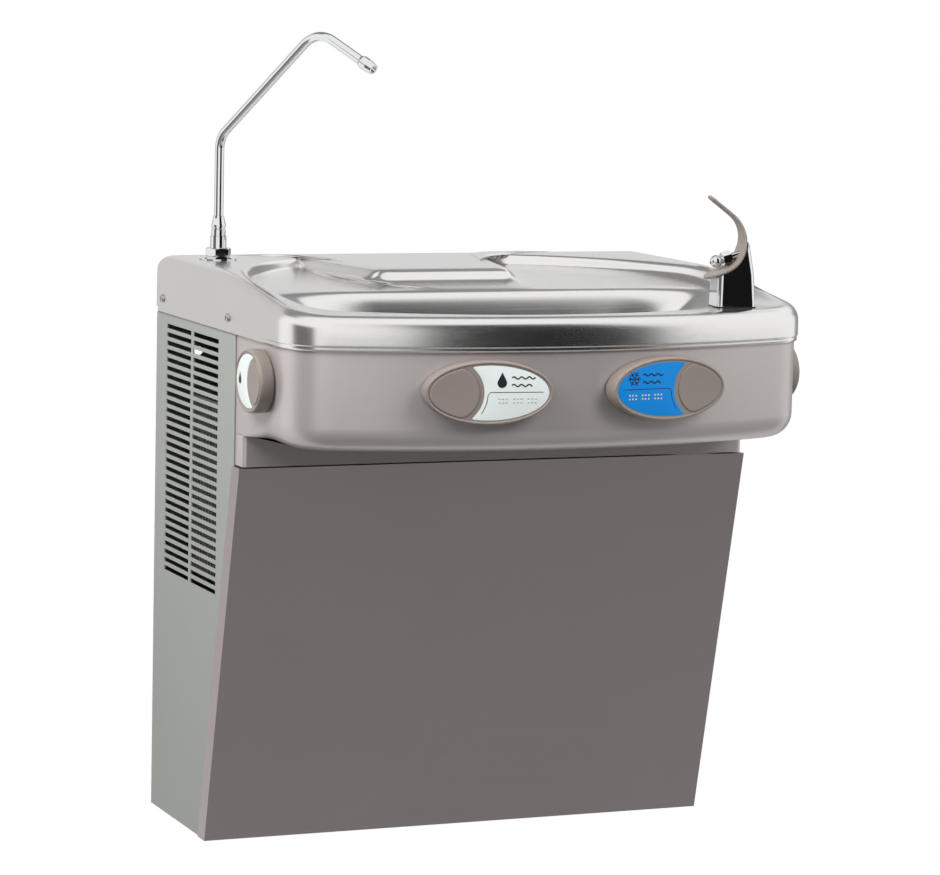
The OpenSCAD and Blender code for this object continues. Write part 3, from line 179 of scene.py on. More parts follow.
@dataclass(frozen=True)
class Metal:
    """A bare or plated metal.

    Attributes:
        name: the material's name.
        colour: sRGB hex.
        rough: lowest and highest roughness.
        grain: polishing direction.
        depth: height of the grain in metres.
        smudge: how much the colour varies over a hand's width.
    """

    name: str
    colour: str
    rough: Pair
    grain: Grain = Grain.BLASTED
    depth: float = 0.000002
    smudge: float = 0.06

    def build(self) -> Material:
        """Makes the material."""
        s = Shader(self.name)
        base = linear(self.colour)
        dark = tuple(c * (1 - self.smudge) for c in base[:3]) + (1.0,)
        lines = s.noise(self.grain.value, 2.0)
        s.set(
            Metallic=1.0,
            Base_Color=s.shade(s.noise((9, 9, 9)), dark, base),
            Roughness=s.spread(lines, *self.rough),
        )
        s.bump(lines, self.depth)
        return s.material


@dataclass(frozen=True)
class Coating:
    """Paint, plastic, rubber or foam.

    Attributes:
        name: the material's name.
        colour: sRGB hex.
        rough: roughness.
        texture: cycles per metre of the surface's grain.
        depth: height of the grain in metres.
        metallic: share of metal flake.
        coat: clear coat's weight.
    """

    name: str
    colour: str
    rough: float
    texture: float = 1200.0
    depth: float = 0.00001
    metallic: float = 0.0
    coat: float = 0.0

    def build(self) -> Material:
        """Makes the material."""
        s = Shader(self.name)
        base = linear(self.colour)
        dark = tuple(c * 0.93 for c in base[:3]) + (1.0,)
        fine = s.noise((self.texture,) * 3, 2.0)
        s.set(
            Metallic=self.metallic,
            Coat_Weight=self.coat,
            Base_Color=s.shade(s.noise((12, 12, 12)), dark, base),
            Roughness=s.spread(fine, self.rough * 0.92, min(1.0, self.rough * 1.08)),
        )
        s.bump(fine, self.depth)
        return s.material


FINISHES: dict[str, Metal | Coating] = {
    "bright_stainless": Metal(
        "brushed_stainless_basin", "#eeedec", (0.22, 0.26), Grain.ALONG_X, 0.0000004, 0.03
    ),
    "satin_stainless": Metal("satin_stainless", "#c2c1be", (0.25, 0.33)),
    "chrome": Metal("polished_chrome", "#e6e7e8", (0.03, 0.06), depth=0.0000002, smudge=0.02),
    "pan_steel": Metal("brushed_steel_pan", "#bfb5b6", (0.38, 0.48), Grain.ALONG_X, 0.000004),
    "moulded_front": Coating("satin_metallic_lacquer", "#c8c1c0", 0.36, 1600, 0.000003, 0.55),
    "grey_paint": Coating("grey_baked_enamel", "#9ea29d", 0.42, 700, 0.00001),
    "galvanised": Metal("galvanised_sheet", "#a9acae", (0.38, 0.5), smudge=0.2),
    "taupe_plastic": Coating("taupe_abs", "#8e847d", 0.34, 900, 0.000006),
    "pale_label": Coating("pale_polycarbonate", "#e6eeed", 0.3, 300, 0.000001, 0.0, 0.3),
    "blue_label": Coating("blue_polycarbonate", "#0088de", 0.42, 300, 0.000001),
    "black_rubber": Coating("black_nitrile_rubber", "#1c1c1c", 0.7),
    "black_plastic": Coating("black_nylon", "#202020", 0.5),
    "white_plastic": Coating("white_polypropylene", "#c9c8c2", 0.4),
    "brass": Metal("turned_brass", "#c9a85a", (0.22, 0.3)),
    "copper": Metal("copper_tube", "#c07a50", (0.25, 0.35), smudge=0.3),
    "aluminium": Metal("rolled_aluminium", "#d4d5d6", (0.3, 0.4)),
    "black_enamel": Coating("black_gloss_enamel", "#151515", 0.25, 300),
    "spring_steel": Metal("spring_steel", "#9a9a9a", (0.25, 0.35)),
    "foam": Coating("moulded_foam", "#4c4c49", 0.9, 400, 0.0002),
    "blue_plastic": Coating("blue_polypropylene", "#243a6e", 0.4),
    "clear_tube": Coating("milky_polyethylene_tube", "#dfe5e6", 0.3, 300, 0.000002),
}


# Mesh building


def mesh_piece(bm: Mesh, name: str, sharp: float = 38.0) -> Object:
    """Turns a bmesh into a smooth-shaded piece with sharp edges by angle.

    Args:
        bm: the mesh, freed afterwards.
        name: the piece's name.
        sharp: angle in degrees above which an edge stays sharp.

    Returns:
        The new object, linked to the scene.
    """
    for face in bm.faces:
        face.smooth = True
    limit = math.radians(sharp)
    for edge in bm.edges:
        edge.smooth = len(edge.link_faces) != 2 or edge.calc_face_angle(0.0) < limit
    mesh = bpy.data.meshes.new(name)
    bm.to_mesh(mesh)
    bm.free()
    obj = bpy.data.objects.new(name, mesh)
    bpy.context.scene.collection.objects.link(obj)
    return obj


def grow(bm: Mesh, rings: Sequence[Ring], closed: bool = True) -> tuple[Loop, Loop]:
    """Extrudes an outline from ring to ring.

    Args:
        bm: the mesh that gets the faces.
        rings: outlines with the same number of points, in metres.
        closed: whether each outline is a loop.

    Returns:
        The edges of the first and of the last outline.
    """
    verts = [bm.verts.new(p) for p in rings[0]]
    count = len(verts)
    pairs = [(i, (i + 1) % count) for i in range(count if closed else count - 1)]
    edges = [bm.edges.new((verts[a], verts[b])) for a, b in pairs]
    first = list(edges)
    for ring in rings[1:]:
        grown = bmesh.ops.extrude_edge_only(bm, edges=edges)["geom"]
        made = {g for g in grown if isinstance(g, bmesh.types.BMVert)}
        verts = [next(e.other_vert(v) for e in v.link_edges if e.other_vert(v) in made) for v in verts]
        for vert, point in zip(verts, ring):
            vert.co = point
        edges = [bm.edges.get((verts[a], verts[b])) for a, b in pairs]
    return first, edges


def cover(bm: Mesh, *loops: Loop) -> None:
    """Fills a flat face between one outline and the holes in it."""
    bmesh.ops.triangle_fill(bm, use_beauty=True, edges=[e for loop in loops for e in loop])


def loft(rings: Sequence[Ring], closed: bool = True, caps: bool = False) -> Mesh:
    """Makes a skin from ring to ring, with its ends filled on request."""
    bm = bmesh.new()
    first, last = grow(bm, rings, closed)
    if caps:
        bmesh.ops.contextual_create(bm, geom=first)
        bmesh.ops.contextual_create(bm, geom=last)
    bmesh.ops.recalc_face_normals(bm, faces=bm.faces)
    return bm


def turned(bm: Mesh, up: Callable[[bmesh.types.BMFace], bool]) -> Mesh:
    """Flips an open sheet whose chosen faces look the wrong way."""
    chosen = [f for f in bm.faces if up(f)]
    if sum(f.normal.z * f.calc_area() for f in chosen) < 0:
        bmesh.ops.reverse_faces(bm, faces=bm.faces)
    return bm


def arc(cx: float, cy: float, r: float, a0: float, a1: float, n: int) -> Plan:
    """Points on an arc in degrees, without the last one."""
    turn = [math.radians(a0 + (a1 - a0) * i / n) for i in range(n)]
    return [(cx + r * math.cos(a), cy + r * math.sin(a)) for a in turn]


def line(a: Point, b: Point, n: int) -> Plan:
    """Points on a line, without the last one."""
    return [(a[0] + (b[0] - a[0]) * i / n, a[1] + (b[1] - a[1]) * i / n) for i in range(n)]


def polar(x: float, y: float, r: float, a: float) -> Pair:
    """A point at a distance from a spot, at an angle in radians."""
    return x + r * math.cos(a), y + r * math.sin(a)


def spin(a: float) -> Vector:
    """A unit vector at an angle in degrees."""
    return Vector(polar(0, 0, 1, math.radians(a)))


def smoothed(obj: Object) -> Object:
    """Rounds a piece's faces by one level."""
    smooth = obj.modifiers.new("round", "SUBSURF")
    smooth.levels = smooth.render_levels = 1
    return obj


@dataclass
class Piece:
    """Base of the remodelled pieces."""

    slot: str
    body: str = "cabinet"

    def place(self, obj: Object, *nodes: str) -> Object:
        """Gives a piece its finish, its body and the CAD nodes it stands for."""
        obj.data.materials.append(materials[self.slot])
        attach(obj, self.body)
        if nodes:
            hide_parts(*nodes)
        log.info("piece %s", obj.name)
        return obj

    def finish(self, bm: Mesh, name: str, sharp: float, *nodes: str) -> Object:
        """Turns a mesh's normals outwards and makes it a placed piece."""
        bmesh.ops.recalc_face_normals(bm, faces=bm.faces)
        return self.place(mesh_piece(bm, name, sharp), *nodes)


@dataclass(frozen=True)
class Bow:
    """Bowed front edge between two round corners.

    Attributes:
        half_w: half its width.
        reach: how far its front stands out from the wall.
        front_r: radius of the bow.
        corner_r: radius of the corners.
    """

    half_w: float
    reach: float
    front_r: float
    corner_r: float

    @property
    def corner(self) -> Pair:
        """Centre of the right corner."""
        x = self.half_w - self.corner_r
        run = math.sqrt((self.front_r - self.corner_r) ** 2 - x**2)
        return x, self.front_r - self.reach - run

    def edge(self, d: float, k: int) -> Plan:
        """The edge from left to right, moved inwards by d, with k times the fewest points."""
        (x, y), cy = self.corner, self.front_r - self.reach
        end = 180 + math.degrees(math.atan2(cy - y, x))
        return (
            arc(-x, y, self.corner_r - d, 180, end, 5 * k)
            + arc(0, cy, self.front_r - d, end, 540 - end, 14 * k)
            + arc(x, y, self.corner_r - d, 540 - end, 360, 5 * k)
        )


RIM = Bow(230, 388, 612, 50)
OPENING = Bow(212, 360, 300, 120)


@dataclass
class Basin(Piece):
    """Pressed steel basin: bowed rim, raised deck, two shelves, a tongue and a bowl.

    Attributes:
        bend: radius of the roll between the skirt and the top.
        fall_from: distance from the wall at which the deck starts to fall to the front.
        side_fall_over: length of that fall along the sides, which start at side_from.
        rear_shift: how far the centre of the round rear lies in front of the corners' centre.
        floor_share: share of the deep plan at which the floor turns into the wall.
        deep_in: how far the deep part's edge lies inside the opening's.
        deep_gap: distance between the tongue's tip and the deep part's rear edge.
        dense: how many times finer the outlines are than their fewest points.
    """

    low: float = 440
    front_top: float = 464
    deck_top: float = 485
    bend: float = 13
    fall_from: float = 150
    fall_over: float = 160
    side_fall_over: float = 225
    side_from: float = 186
    side_over: float = 40
    rear_shift: float = 15
    shelf_drop: float = 10
    floor_h: float = 408
    floor_share: float = 0.48
    waste: Pair = (0.0, -270.0)
    waste_r: float = 17
    tongue_x: float = -26
    tongue_w: float = 61
    tongue_r: float = 10
    tongue_reach: float = 172
    tongue_slope: float = 2.6
    tongue_flare: float = 28
    deep_in: float = 9
    deep_corner: Pair = (78, 15)
    deep_gap: float = 31
    dense: int = 3

    def rise(self, x: float, y: float) -> float:
        """Height of the rim and deck at a place, a little higher along the sides."""
        fall = ease((-y - self.fall_from) / self.fall_over)
        side = ease((abs(x) - self.side_from) / self.side_over)
        fall += side * (ease((-y - self.fall_from) / self.side_fall_over) - fall)
        return self.deck_top - (self.deck_top - self.front_top) * fall

    def rim(self, d: float) -> Plan:
        """Plan of the rim, moved inwards by d."""
        k, w, y = self.dense, RIM.half_w - d, RIM.corner[1]
        return (
            line((-w, -d), (-w, y), 10 * k)
            + RIM.edge(d, k)
            + line((w, y), (w, -d), 10 * k)
            + line((w, -d), (-w, -d), 26 * k)
        )

    def tongue(self, d: float) -> Plan:
        """Edge of the tongue, grown by d and with a gentler slope than the bowl's."""
        g = d * self.tongue_slope
        k, c, w, f = self.dense, self.tongue_x, self.tongue_w + g, -self.tongue_reach - g
        q = max(2, self.tongue_r + g)
        right, left = self.root(d, 1), self.root(d, -1)
        return (
            line(right, (c + w + q / 3, f + q), 5 * k)
            + arc(c + w - q, f + q, q, 0, -90, 3 * k)
            + line((c + w - q, f), (c - w + q, f), 4 * k)
            + arc(c - w + q, f + q, q, -90, -180, 3 * k)
            + line((c - w - q / 3, f + q), left, 5 * k)
        )

    def root(self, d: float, side: int) -> Pair:
        """Where one side of the tongue meets the bowl's round rear."""
        x = self.tongue_x + side * (self.tongue_w + self.tongue_flare + d)
        return x, self.rear_y + math.sqrt((OPENING.half_w - d) ** 2 - x**2)

    @property
    def rear_y(self) -> float:
        """Centre of the bowl's round rear."""
        return OPENING.corner[1] - self.rear_shift

    def bowl(self, d: float) -> Plan:
        """Plan of the bowl's opening, moved inwards by d."""
        k, r = self.dense, OPENING.half_w - d
        right, left = (math.degrees(math.acos(self.root(d, side)[0] / r)) for side in (1, -1))
        return (
            arc(0, self.rear_y, r, 130, 175, 10 * k)
            + OPENING.edge(d, k)
            + arc(0, self.rear_y, r, 5, 50, 10 * k)
            + arc(0, self.rear_y, r, 50, right, 4 * k)
            + self.tongue(d)
            + arc(0, self.rear_y, r, left, 130, 2 * k)
        )

    def deep(self, d: float) -> Plan:
        """Plan of the deep part of the bowl, in front of the shelves."""
        k, back = self.dense, self.tongue_reach + self.deep_gap
        wide, long = self.deep_corner
        x = OPENING.half_w - self.deep_in - wide

        def side(a0: float, a1: float, s: int) -> Plan:
            turn = [math.radians(a0 + (a1 - a0) * i / (10 * k)) for i in range(10 * k)]
            return [
                (s * x + (wide - d) * math.cos(a), -back - long + (long - d) * math.sin(a))
                for a in turn
            ]

        return (
            side(90, 180, -1)
            + OPENING.edge(self.deep_in + d, k)
            + side(0, 90, 1)
            + line((x, -back - d), (-x, -back - d), 26 * k)
        )

    def follow(self, plan: Plan, drop: float) -> Ring:
        """A ring that follows the deck's height less a drop."""
        return [at(p[0], p[1], self.rise(p[0], p[1]) - drop) for p in plan]

    def level(self, plan: Plan, z: float) -> Ring:
        """A ring at one height."""
        return [at(p[0], p[1], z) for p in plan]

    def shrunk(self, share: float) -> Plan:
        """The deep part's plan shrunk towards the waste."""
        cx, cy = self.waste
        return [(cx + (x - cx) * share, cy + (y - cy) * share) for x, y in self.deep(0)]

    def wall(self, share: float) -> Ring:
        """A ring on the bowl's wall between the floor and the shelves."""
        lift = ease((share - self.floor_share) / (1 - self.floor_share))
        low, drop = self.floor_h + 4, self.shelf_drop + 1
        return [
            at(x, y, low + (self.rise(*edge) - drop - low) * lift)
            for (x, y), edge in zip(self.shrunk(share), self.deep(0))
        ]

    def round(self, r: float, z: float) -> Ring:
        """A circle about the waste."""
        cx, cy = self.waste
        out = []
        for p in self.deep(0):
            d = math.hypot(p[0] - cx, p[1] - cy)
            out.append(at(cx + r * (p[0] - cx) / d, cy + r * (p[1] - cy) / d, z))
        return out

    def rings(self) -> list[Ring]:
        """All rings from the hem to the waste."""
        b, floor = self.bend, self.floor_h
        hem = ((0.8, -4), (0.8, -0.6), (0.7, -0.3), (0.1, 0), (0, 0.4), (0, 1))
        turns = [math.radians(a) for a in range(0, 91, 15)]
        lip = ((-9, 0), (-5, 0.2), (-2.4, 1.0), (-0.8, 2.6), (0, 5), (0.7, 7.4), (2, 9.2), (4, 10))
        return [
            *(self.level(self.rim(d), self.low + z) for d, z in hem),
            *(self.follow(self.rim(b - b * math.cos(a)), b - b * math.sin(a)) for a in turns),
            *(self.follow(self.bowl(d), drop) for d, drop in lip),
            self.follow(self.deep(-3), self.shelf_drop + 0.4),
            self.follow(self.deep(0), self.shelf_drop + 1),
            *(self.wall(1 - step / 20) for step in range(1, 11)),
            self.level(self.shrunk(0.42), floor + 3),
            self.level(self.shrunk(0.32), floor + 1.5),
            self.round(26, floor),
            self.round(24, floor - 3),
            self.round(self.waste_r, floor - 3),
        ]

    def build(self) -> Object:
        """Makes the sheet with its thickness."""
        bm = turned(loft(self.rings()), lambda f: abs(f.normal.z) > 0.9)
        obj = smoothed(mesh_piece(bm, "basin_pressing", 60))
        sheet = obj.modifiers.new("sheet", "SOLIDIFY")
        sheet.thickness = 0.0012
        sheet.offset = -1
        return self.place(obj, "basin")


@dataclass
class MouldedFront(Piece):
    """Moulded front: a band under the rim that rounds into a set-back neck.

    Attributes:
        inset: how far the band stands back from the rim.
        side_y: distance from the wall at which the front starts.
        bulge_r: radius of the band's lower edge at the front.
        bulge_fade: distance over which that radius shrinks towards the neck.
    """

    inset: float = 3
    wall: float = 2
    side_y: float = 210.6
    low: float = 328.6
    bulge_low: float = 355
    bulge_r: float = 20
    bulge_fade: float = 45
    top: float = 446
    neck_x: float = 227
    neck_y: float = 229
    neck_r: float = 4
    dense: int = 3

    def path(self, d: float) -> Plan:
        """Plan of the band from left to right, moved inwards by d from the rim."""
        k, x, y = self.dense, RIM.half_w - d, RIM.corner[1]
        return (
            line((-x, -self.side_y), (-x, y), 5 * k)
            + RIM.edge(d, k)
            + line((x, y), (x, -self.side_y), 5 * k)
            + [(x, -self.side_y)]
        )

    def neck(self, d: float) -> Plan:
        """Plan of the neck, moved inwards by d."""
        k, x, y, r = self.dense, self.neck_x, -self.neck_y, self.neck_r
        return (
            line((-x + d, -self.side_y), (-x + d, y + r), 5 * k)
            + arc(-x + r, y + r, r - d, 180, 270, 5 * k)
            + line((-x + r, y + d), (x - r, y + d), 14 * k)
            + arc(x - r, y + r, r - d, 270, 360, 5 * k)
            + line((x - d, y + r), (x - d, -self.side_y), 5 * k)
            + [(x - d, -self.side_y)]
        )

    def profile(self, d: float, t: float) -> list[Ring]:
        """Rings down one side of the wall.

        Args:
            d: inset of the band from the rim.
            t: rise of the underside.

        Returns:
            Rings from the top edge to the neck's lower edge.
        """
        outer, inner, neck = self.path(d), self.path(d + 4), self.neck(t)
        rings: list[Ring] = [[at(p[0], p[1], self.top) for p in outer]]
        steps = 9
        for i in range(steps + 1):
            a = math.radians(90 * i / steps)
            ring = []
            for p, q in zip(outer, inner):
                shrink = ease((-p[1] - self.neck_y) / self.bulge_fade)
                r = max(0.4, self.bulge_r * shrink - t)
                u = Vector((q[0] - p[0], q[1] - p[1])) / 4
                inward = r * (1 - math.cos(a))
                z = self.bulge_low + t + r * (1 - math.sin(a))
                ring.append(at(p[0] + u.x * inward, p[1] + u.y * inward, z))
            rings.append(ring)
        under = rings[-1]
        neck_top = [at(n[0], n[1], self.bulge_low + t) for n in neck]
        rings.append([a.lerp(b, 0.96) for a, b in zip(under, neck_top)])
        rings.append([at(n[0], n[1], self.bulge_low + t - 1.5) for n in neck])
        rings.append([at(n[0], n[1], self.low) for n in neck])
        return rings

    def build(self) -> Object:
        """Makes the wall with both its faces."""
        rings = self.profile(self.inset, 0) + self.profile(self.inset + self.wall, self.wall)[::-1]
        bm = loft([list(r) for r in zip(*rings)], caps=True)
        return self.place(mesh_piece(bm, "moulded_front_skin", 40), "apron")


@dataclass
class FillerTube(Piece):
    """Bent chrome tube of the glass filler."""

    root: tuple[float, float, float] = (-194, -62, 485)
    turn: float = 60
    radius: float = 4
    start: float = 12
    rise: float = 94
    low_r: float = 22
    top_r: float = 28
    up: float = 41.6
    down: float = 27
    up_l: float = 113
    down_l: float = 47

    def path(self) -> list[Vector]:
        """Middle line in the tube's own plane, as distance out and height."""
        rising, falling = spin(self.up), spin(-self.down)
        low = Vector((self.low_r, self.rise))
        b = low + self.low_r * spin(self.up + 90) + self.up_l * rising
        top = b + self.top_r * spin(self.up - 90)
        end = top + self.top_r * spin(90 - self.down) + self.down_l * falling
        points = [Vector((0, self.start)), Vector((0, self.rise * 0.6))]
        points += [Vector(p) for p in arc(*low, self.low_r, 180, 90 + self.up, 16)]
        points += [Vector(p) for p in arc(*top, self.top_r, 90 + self.up, 90 - self.down, 24)]
        return [*points, end - falling * (self.down_l - 3), end]

    def build(self) -> Object:
        """Makes the tube."""
        out, side = spin(-self.turn).to_3d(), spin(90 - self.turn).to_3d()
        turns = [2 * math.pi * k / 40 for k in range(40)]
        spots = [Vector(self.root) + out * p.x + Vector((0, 0, p.y)) for p in self.path()]
        rings = []
        for i, spot in enumerate(spots):
            ahead = (spots[min(i + 1, len(spots) - 1)] - spots[max(i - 1, 0)]).normalized()
            over = side.cross(ahead).normalized()
            ring = [spot + self.radius * (math.cos(t) * side + math.sin(t) * over) for t in turns]
            rings.append([at(*p) for p in ring])
        return self.place(mesh_piece(loft(rings, caps=True), "filler_tube_chromed"), "spout_tube")


def resample(plan: Plan, step: float) -> Plan:
    """A closed outline with points at even distances."""
    legs = [math.dist(a, b) for a, b in zip(plan, plan[1:] + plan[:1])]
    count = round(sum(legs) / step)
    out, k, gone = [], 0, 0.0
    for i in range(count):
        want = sum(legs) * i / count
        while gone + legs[k] < want:
            gone += legs[k]
            k += 1
        a, b, t = plan[k], plan[(k + 1) % len(plan)], (want - gone) / legs[k]
        out.append((a[0] + (b[0] - a[0]) * t, a[1] + (b[1] - a[1]) * t))
    return out


def soften(plan: Plan, passes: int) -> Plan:
    """Rounds the corners of a closed outline."""
    for _ in range(passes):
        plan = [
            ((a[0] + 2 * b[0] + c[0]) / 4, (a[1] + 2 * b[1] + c[1]) / 4)
            for a, b, c in zip(plan[-1:] + plan[:-1], plan, plan[1:] + plan[:1])
        ]
    return plan


def inset(plan: Plan, d: float) -> Plan:
    """Moves a closed outline inwards by d, or outwards where d is negative."""
    area = sum(a[0] * b[1] - a[1] * b[0] for a, b in zip(plan, plan[1:] + plan[:1]))
    out = []
    for a, b, c in zip(plan[-1:] + plan[:-1], plan, plan[1:] + plan[:1]):
        way = Vector((c[0] - a[0], c[1] - a[1])).normalized() * math.copysign(d, area)
        out.append((b[0] - way.y, b[1] + way.x))
    return out


@dataclass(frozen=True)
class Plate:
    """Frame and outlines of one oval push plate: X to the right as seen, Y up, Z outwards.

    Attributes:
        turn: the plate's place on the cabinet, in millimetres.
        width: width of the oval.
        pad_side: 1 where the pad is on the right.
        bow: radius of the wall behind it, or 0.
        stem_x: distance of the pad's stem from the plate's middle.
        button: the button's node and body.
        label: the label's node.
        tall: height of the oval.
        proud: how far the plate stands out from the wall.
        lip: width of the frame's raised edge.
        pad_r: radius of the pad's round side.
    """

    turn: Matrix
    width: float
    pad_side: int
    bow: float
    stem_x: float
    button: str
    label: str
    tall: float = 51.5
    proud: float = 13
    lip: float = 2.2
    pad_r: float = 21.63

    @property
    def wide(self) -> bool:
        """Whether it is one of the wide plates on the front."""
        return self.width > 80

    @property
    def pad_x(self) -> float:
        """Place of the pad's centre."""
        return self.width / 2 - self.pad_r - self.lip + (0 if self.wide else 6)

    def ring(self, plan: Plan, z: float, follow: bool = False) -> Ring:
        """Places an outline at a height, which follows the bowed wall on request."""
        drop = 2 * self.bow if follow and self.bow else 0
        return [
            at(*(self.turn @ Vector((self.pad_side * x, y, z - (x * x / drop if drop else 0)))))
            for x, y in plan
        ]

    def oval(self, d: float, n: int = 96) -> Plan:
        """The plate's edge, moved inwards by d."""
        turns = [2 * math.pi * i / n for i in range(n)]
        return [((self.width / 2 - d) * math.cos(t), (self.tall / 2 - d) * math.sin(t)) for t in turns]

    def pad(self, d: float, n: int = 72) -> Plan:
        """The pad's edge, moved inwards by d, as if the pad were on the right."""
        rx, ry, c = self.width / 2 - self.lip - 0.8, self.tall / 2 - self.lip - 0.8, self.pad_x
        out = []
        for i in range(n):
            cos, sin = math.cos(2 * math.pi * i / n), math.sin(2 * math.pi * i / n)
            q, b = (cos / rx) ** 2 + (sin / ry) ** 2, c * cos / rx**2
            reach = (-b + math.sqrt(b * b - q * ((c / rx) ** 2 - 1))) / q
            reach = (reach**-40 + self.pad_r**-40) ** (-1 / 40)
            out.append((c + reach * cos, reach * sin))
        return inset(out, d)

    def window(self, d: float) -> Plan:
        """The label's edge, moved inwards by d, as if the pad were on the right."""
        rx, ry, r = self.width / 2 - self.lip - 1.4, self.tall / 2 - self.lip - 1.4, self.pad_r + 3
        turns = [math.pi * (0.05 + i / 120) for i in range(229)]
        edge = [(rx * math.cos(t), ry * math.sin(t)) for t in turns]
        edge = [p for p in edge if math.hypot(p[0] - self.pad_x, p[1]) > r]
        horn = math.atan2(edge[-1][1], edge[-1][0] - self.pad_x)
        back = [-math.pi + (math.pi + horn) * (1 - i / 20) for i in range(1, 40)]
        hollow = [(self.pad_x + r * math.cos(t), r * math.sin(t)) for t in back]
        return inset(soften(resample(edge + hollow, 0.6), 22), d)


def plates() -> list[Plate]:
    """The two plates on the front and one on each side."""
    front_r, front_cy, height = 609, 224, 405
    lean, front_width, front_stem = math.asin(77 / front_r), 106, 28.67
    side_x, side_y, side_gap = 227, -276, 0.2
    side_width, side_stem, side_pad_r = 64, 14.17, 17.8
    up = Matrix.Rotation(math.radians(90), 4, "X")
    out = []
    for s, kind in ((-1, "natural_labels"), (1, "chilled_labels")):
        word = "left" if s < 0 else "right"
        front = Matrix.Translation((0, front_cy, height)) @ Matrix.Rotation(s * lean, 4, "Z")
        front = front @ Matrix.Translation((0, -front_r, 0)) @ up
        button = f"front_{word}_button"
        out.append(Plate(front, front_width, s, front_r, front_stem, button, kind))
        side = Matrix.Translation((s * side_x, side_y, height))
        side = side @ Matrix.Rotation(math.radians(s * 90), 4, "Z") @ up
        side = side @ Matrix.Translation((0, 0, side_gap))
        button = f"{word}_side_button"
        out.append(Plate(side, side_width, -s, 0, side_stem, button, kind, pad_r=side_pad_r))
    return out


@dataclass
class Bezels(Piece):
    """Oval frames with a rounded lip, a pocket for the pad and a recess for the label."""

    pocket_floor: float = 4.5

    def build(self, chosen: list[Plate], name: str, node: str) -> Object:
        """Makes the frames of one CAD node."""
        bm = bmesh.new()
        for q in chosen:
            top, face = q.proud, q.proud - 0.8
            wall = [(2.4, -1.5), (2.4, 1.1), (0.5, 1.5), (0.1, 2), (0, 2.6)]
            lip = [(0, top - 2.6), (0.12, top - 1.5), (0.5, top - 0.7), (1.1, top - 0.15)]
            lip += [(1.6, top), (2.1, top - 0.1), (2.5, top - 0.45), (2.8, face)]
            rings = [q.ring(q.oval(d), z, True) for d, z in wall]
            _, rim = grow(bm, rings + [q.ring(q.oval(d), z) for d, z in lip])
            pocket = [(-0.35, face), (-0.1, face - 0.12), (0, face - 0.4), (0, self.pocket_floor)]
            edge, floor = grow(bm, [q.ring(q.pad(d), z) for d, z in pocket])
            recess = [(-0.3, face), (-0.05, face - 0.1), (0, face - 0.6)]
            frame_edge, bed = grow(bm, [q.ring(q.window(d), z) for d, z in recess])
            cover(bm, rim, edge, frame_edge)
            cover(bm, floor)
            cover(bm, bed)
        return self.finish(bm, name, 30, node)


@dataclass
class Pad(Piece):
    """Finger pad with a rounded edge and a shallow hollow, on its stem."""

    stem_r: float = 4
    skirt: float = 3.2
    stem_end: float = 23

    def build(self, q: Plate) -> Object:
        """Makes the pad of one plate."""
        top = q.proud
        edge = [(0.5, self.skirt), (0.5, 1), (0.62, 0.5), (0.95, 0.12), (1.5, 0), (2.6, 0.06)]
        rings = [q.ring(q.pad(d), top - drop) for d, drop in edge]
        for share, drop in ((0.7, 0.2), (0.45, 0.32), (0.2, 0.38)):
            hollow = [(q.pad_x + (x - q.pad_x) * share, y * share) for x, y in q.pad(2.6)]
            rings.append(q.ring(hollow, top - drop))
        bm = loft(rings, caps=True)
        stem = arc(q.stem_x, 0, self.stem_r, 0, 360, 32)
        grow(bm, [q.ring(stem, top - drop) for drop in (self.skirt, self.stem_end)])
        return self.finish(bm, q.button + "_pad", 30, q.button)


@dataclass
class ReturnSpring(Piece):
    """Wire spring between a pad and the floor of its pocket."""

    low: float = 4.2
    high: float = 9.6
    coil_r: float = 5.8
    wire_r: float = 0.3
    turns: float = 3.5
    travel: float = 3

    def build(self, q: Plate) -> Object:
        """Makes the spring of one plate."""
        middle, rings = q.pad_side * q.stem_x, []
        steps = round(24 * self.turns)
        for i in range(steps + 1):
            a = 2 * math.pi * self.turns * i / steps
            z = self.low + self.wire_r + (self.high - self.low - 2 * self.wire_r) * i / steps
            section = arc(self.coil_r, z, self.wire_r, 0, 360, 8)
            spots = [Vector((middle + r * math.cos(a), r * math.sin(a), h)) for r, h in section]
            rings.append([at(*(q.turn @ p)) for p in spots])
        obj = mesh_piece(loft(rings, caps=True), q.button + "_coil", 60)
        self.place(obj, q.button.replace("button", "spring"))
        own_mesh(obj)
        return obj


@dataclass
class Labels(Piece):
    """Label slabs with a soft edge."""

    def build(self, chosen: list[Plate], node: str) -> Object:
        """Makes the slabs of one CAD node."""
        bm = bmesh.new()
        for q in chosen:
            z = q.proud - 0.8
            slab = [(0.3, z - 0.6), (0.3, z), (0.42, z + 0.15), (0.7, z + 0.2)]
            _, top = grow(bm, [q.ring(q.window(d), h) for d, h in slab])
            cover(bm, top)
        return self.finish(bm, node + "_plate", 30, node)


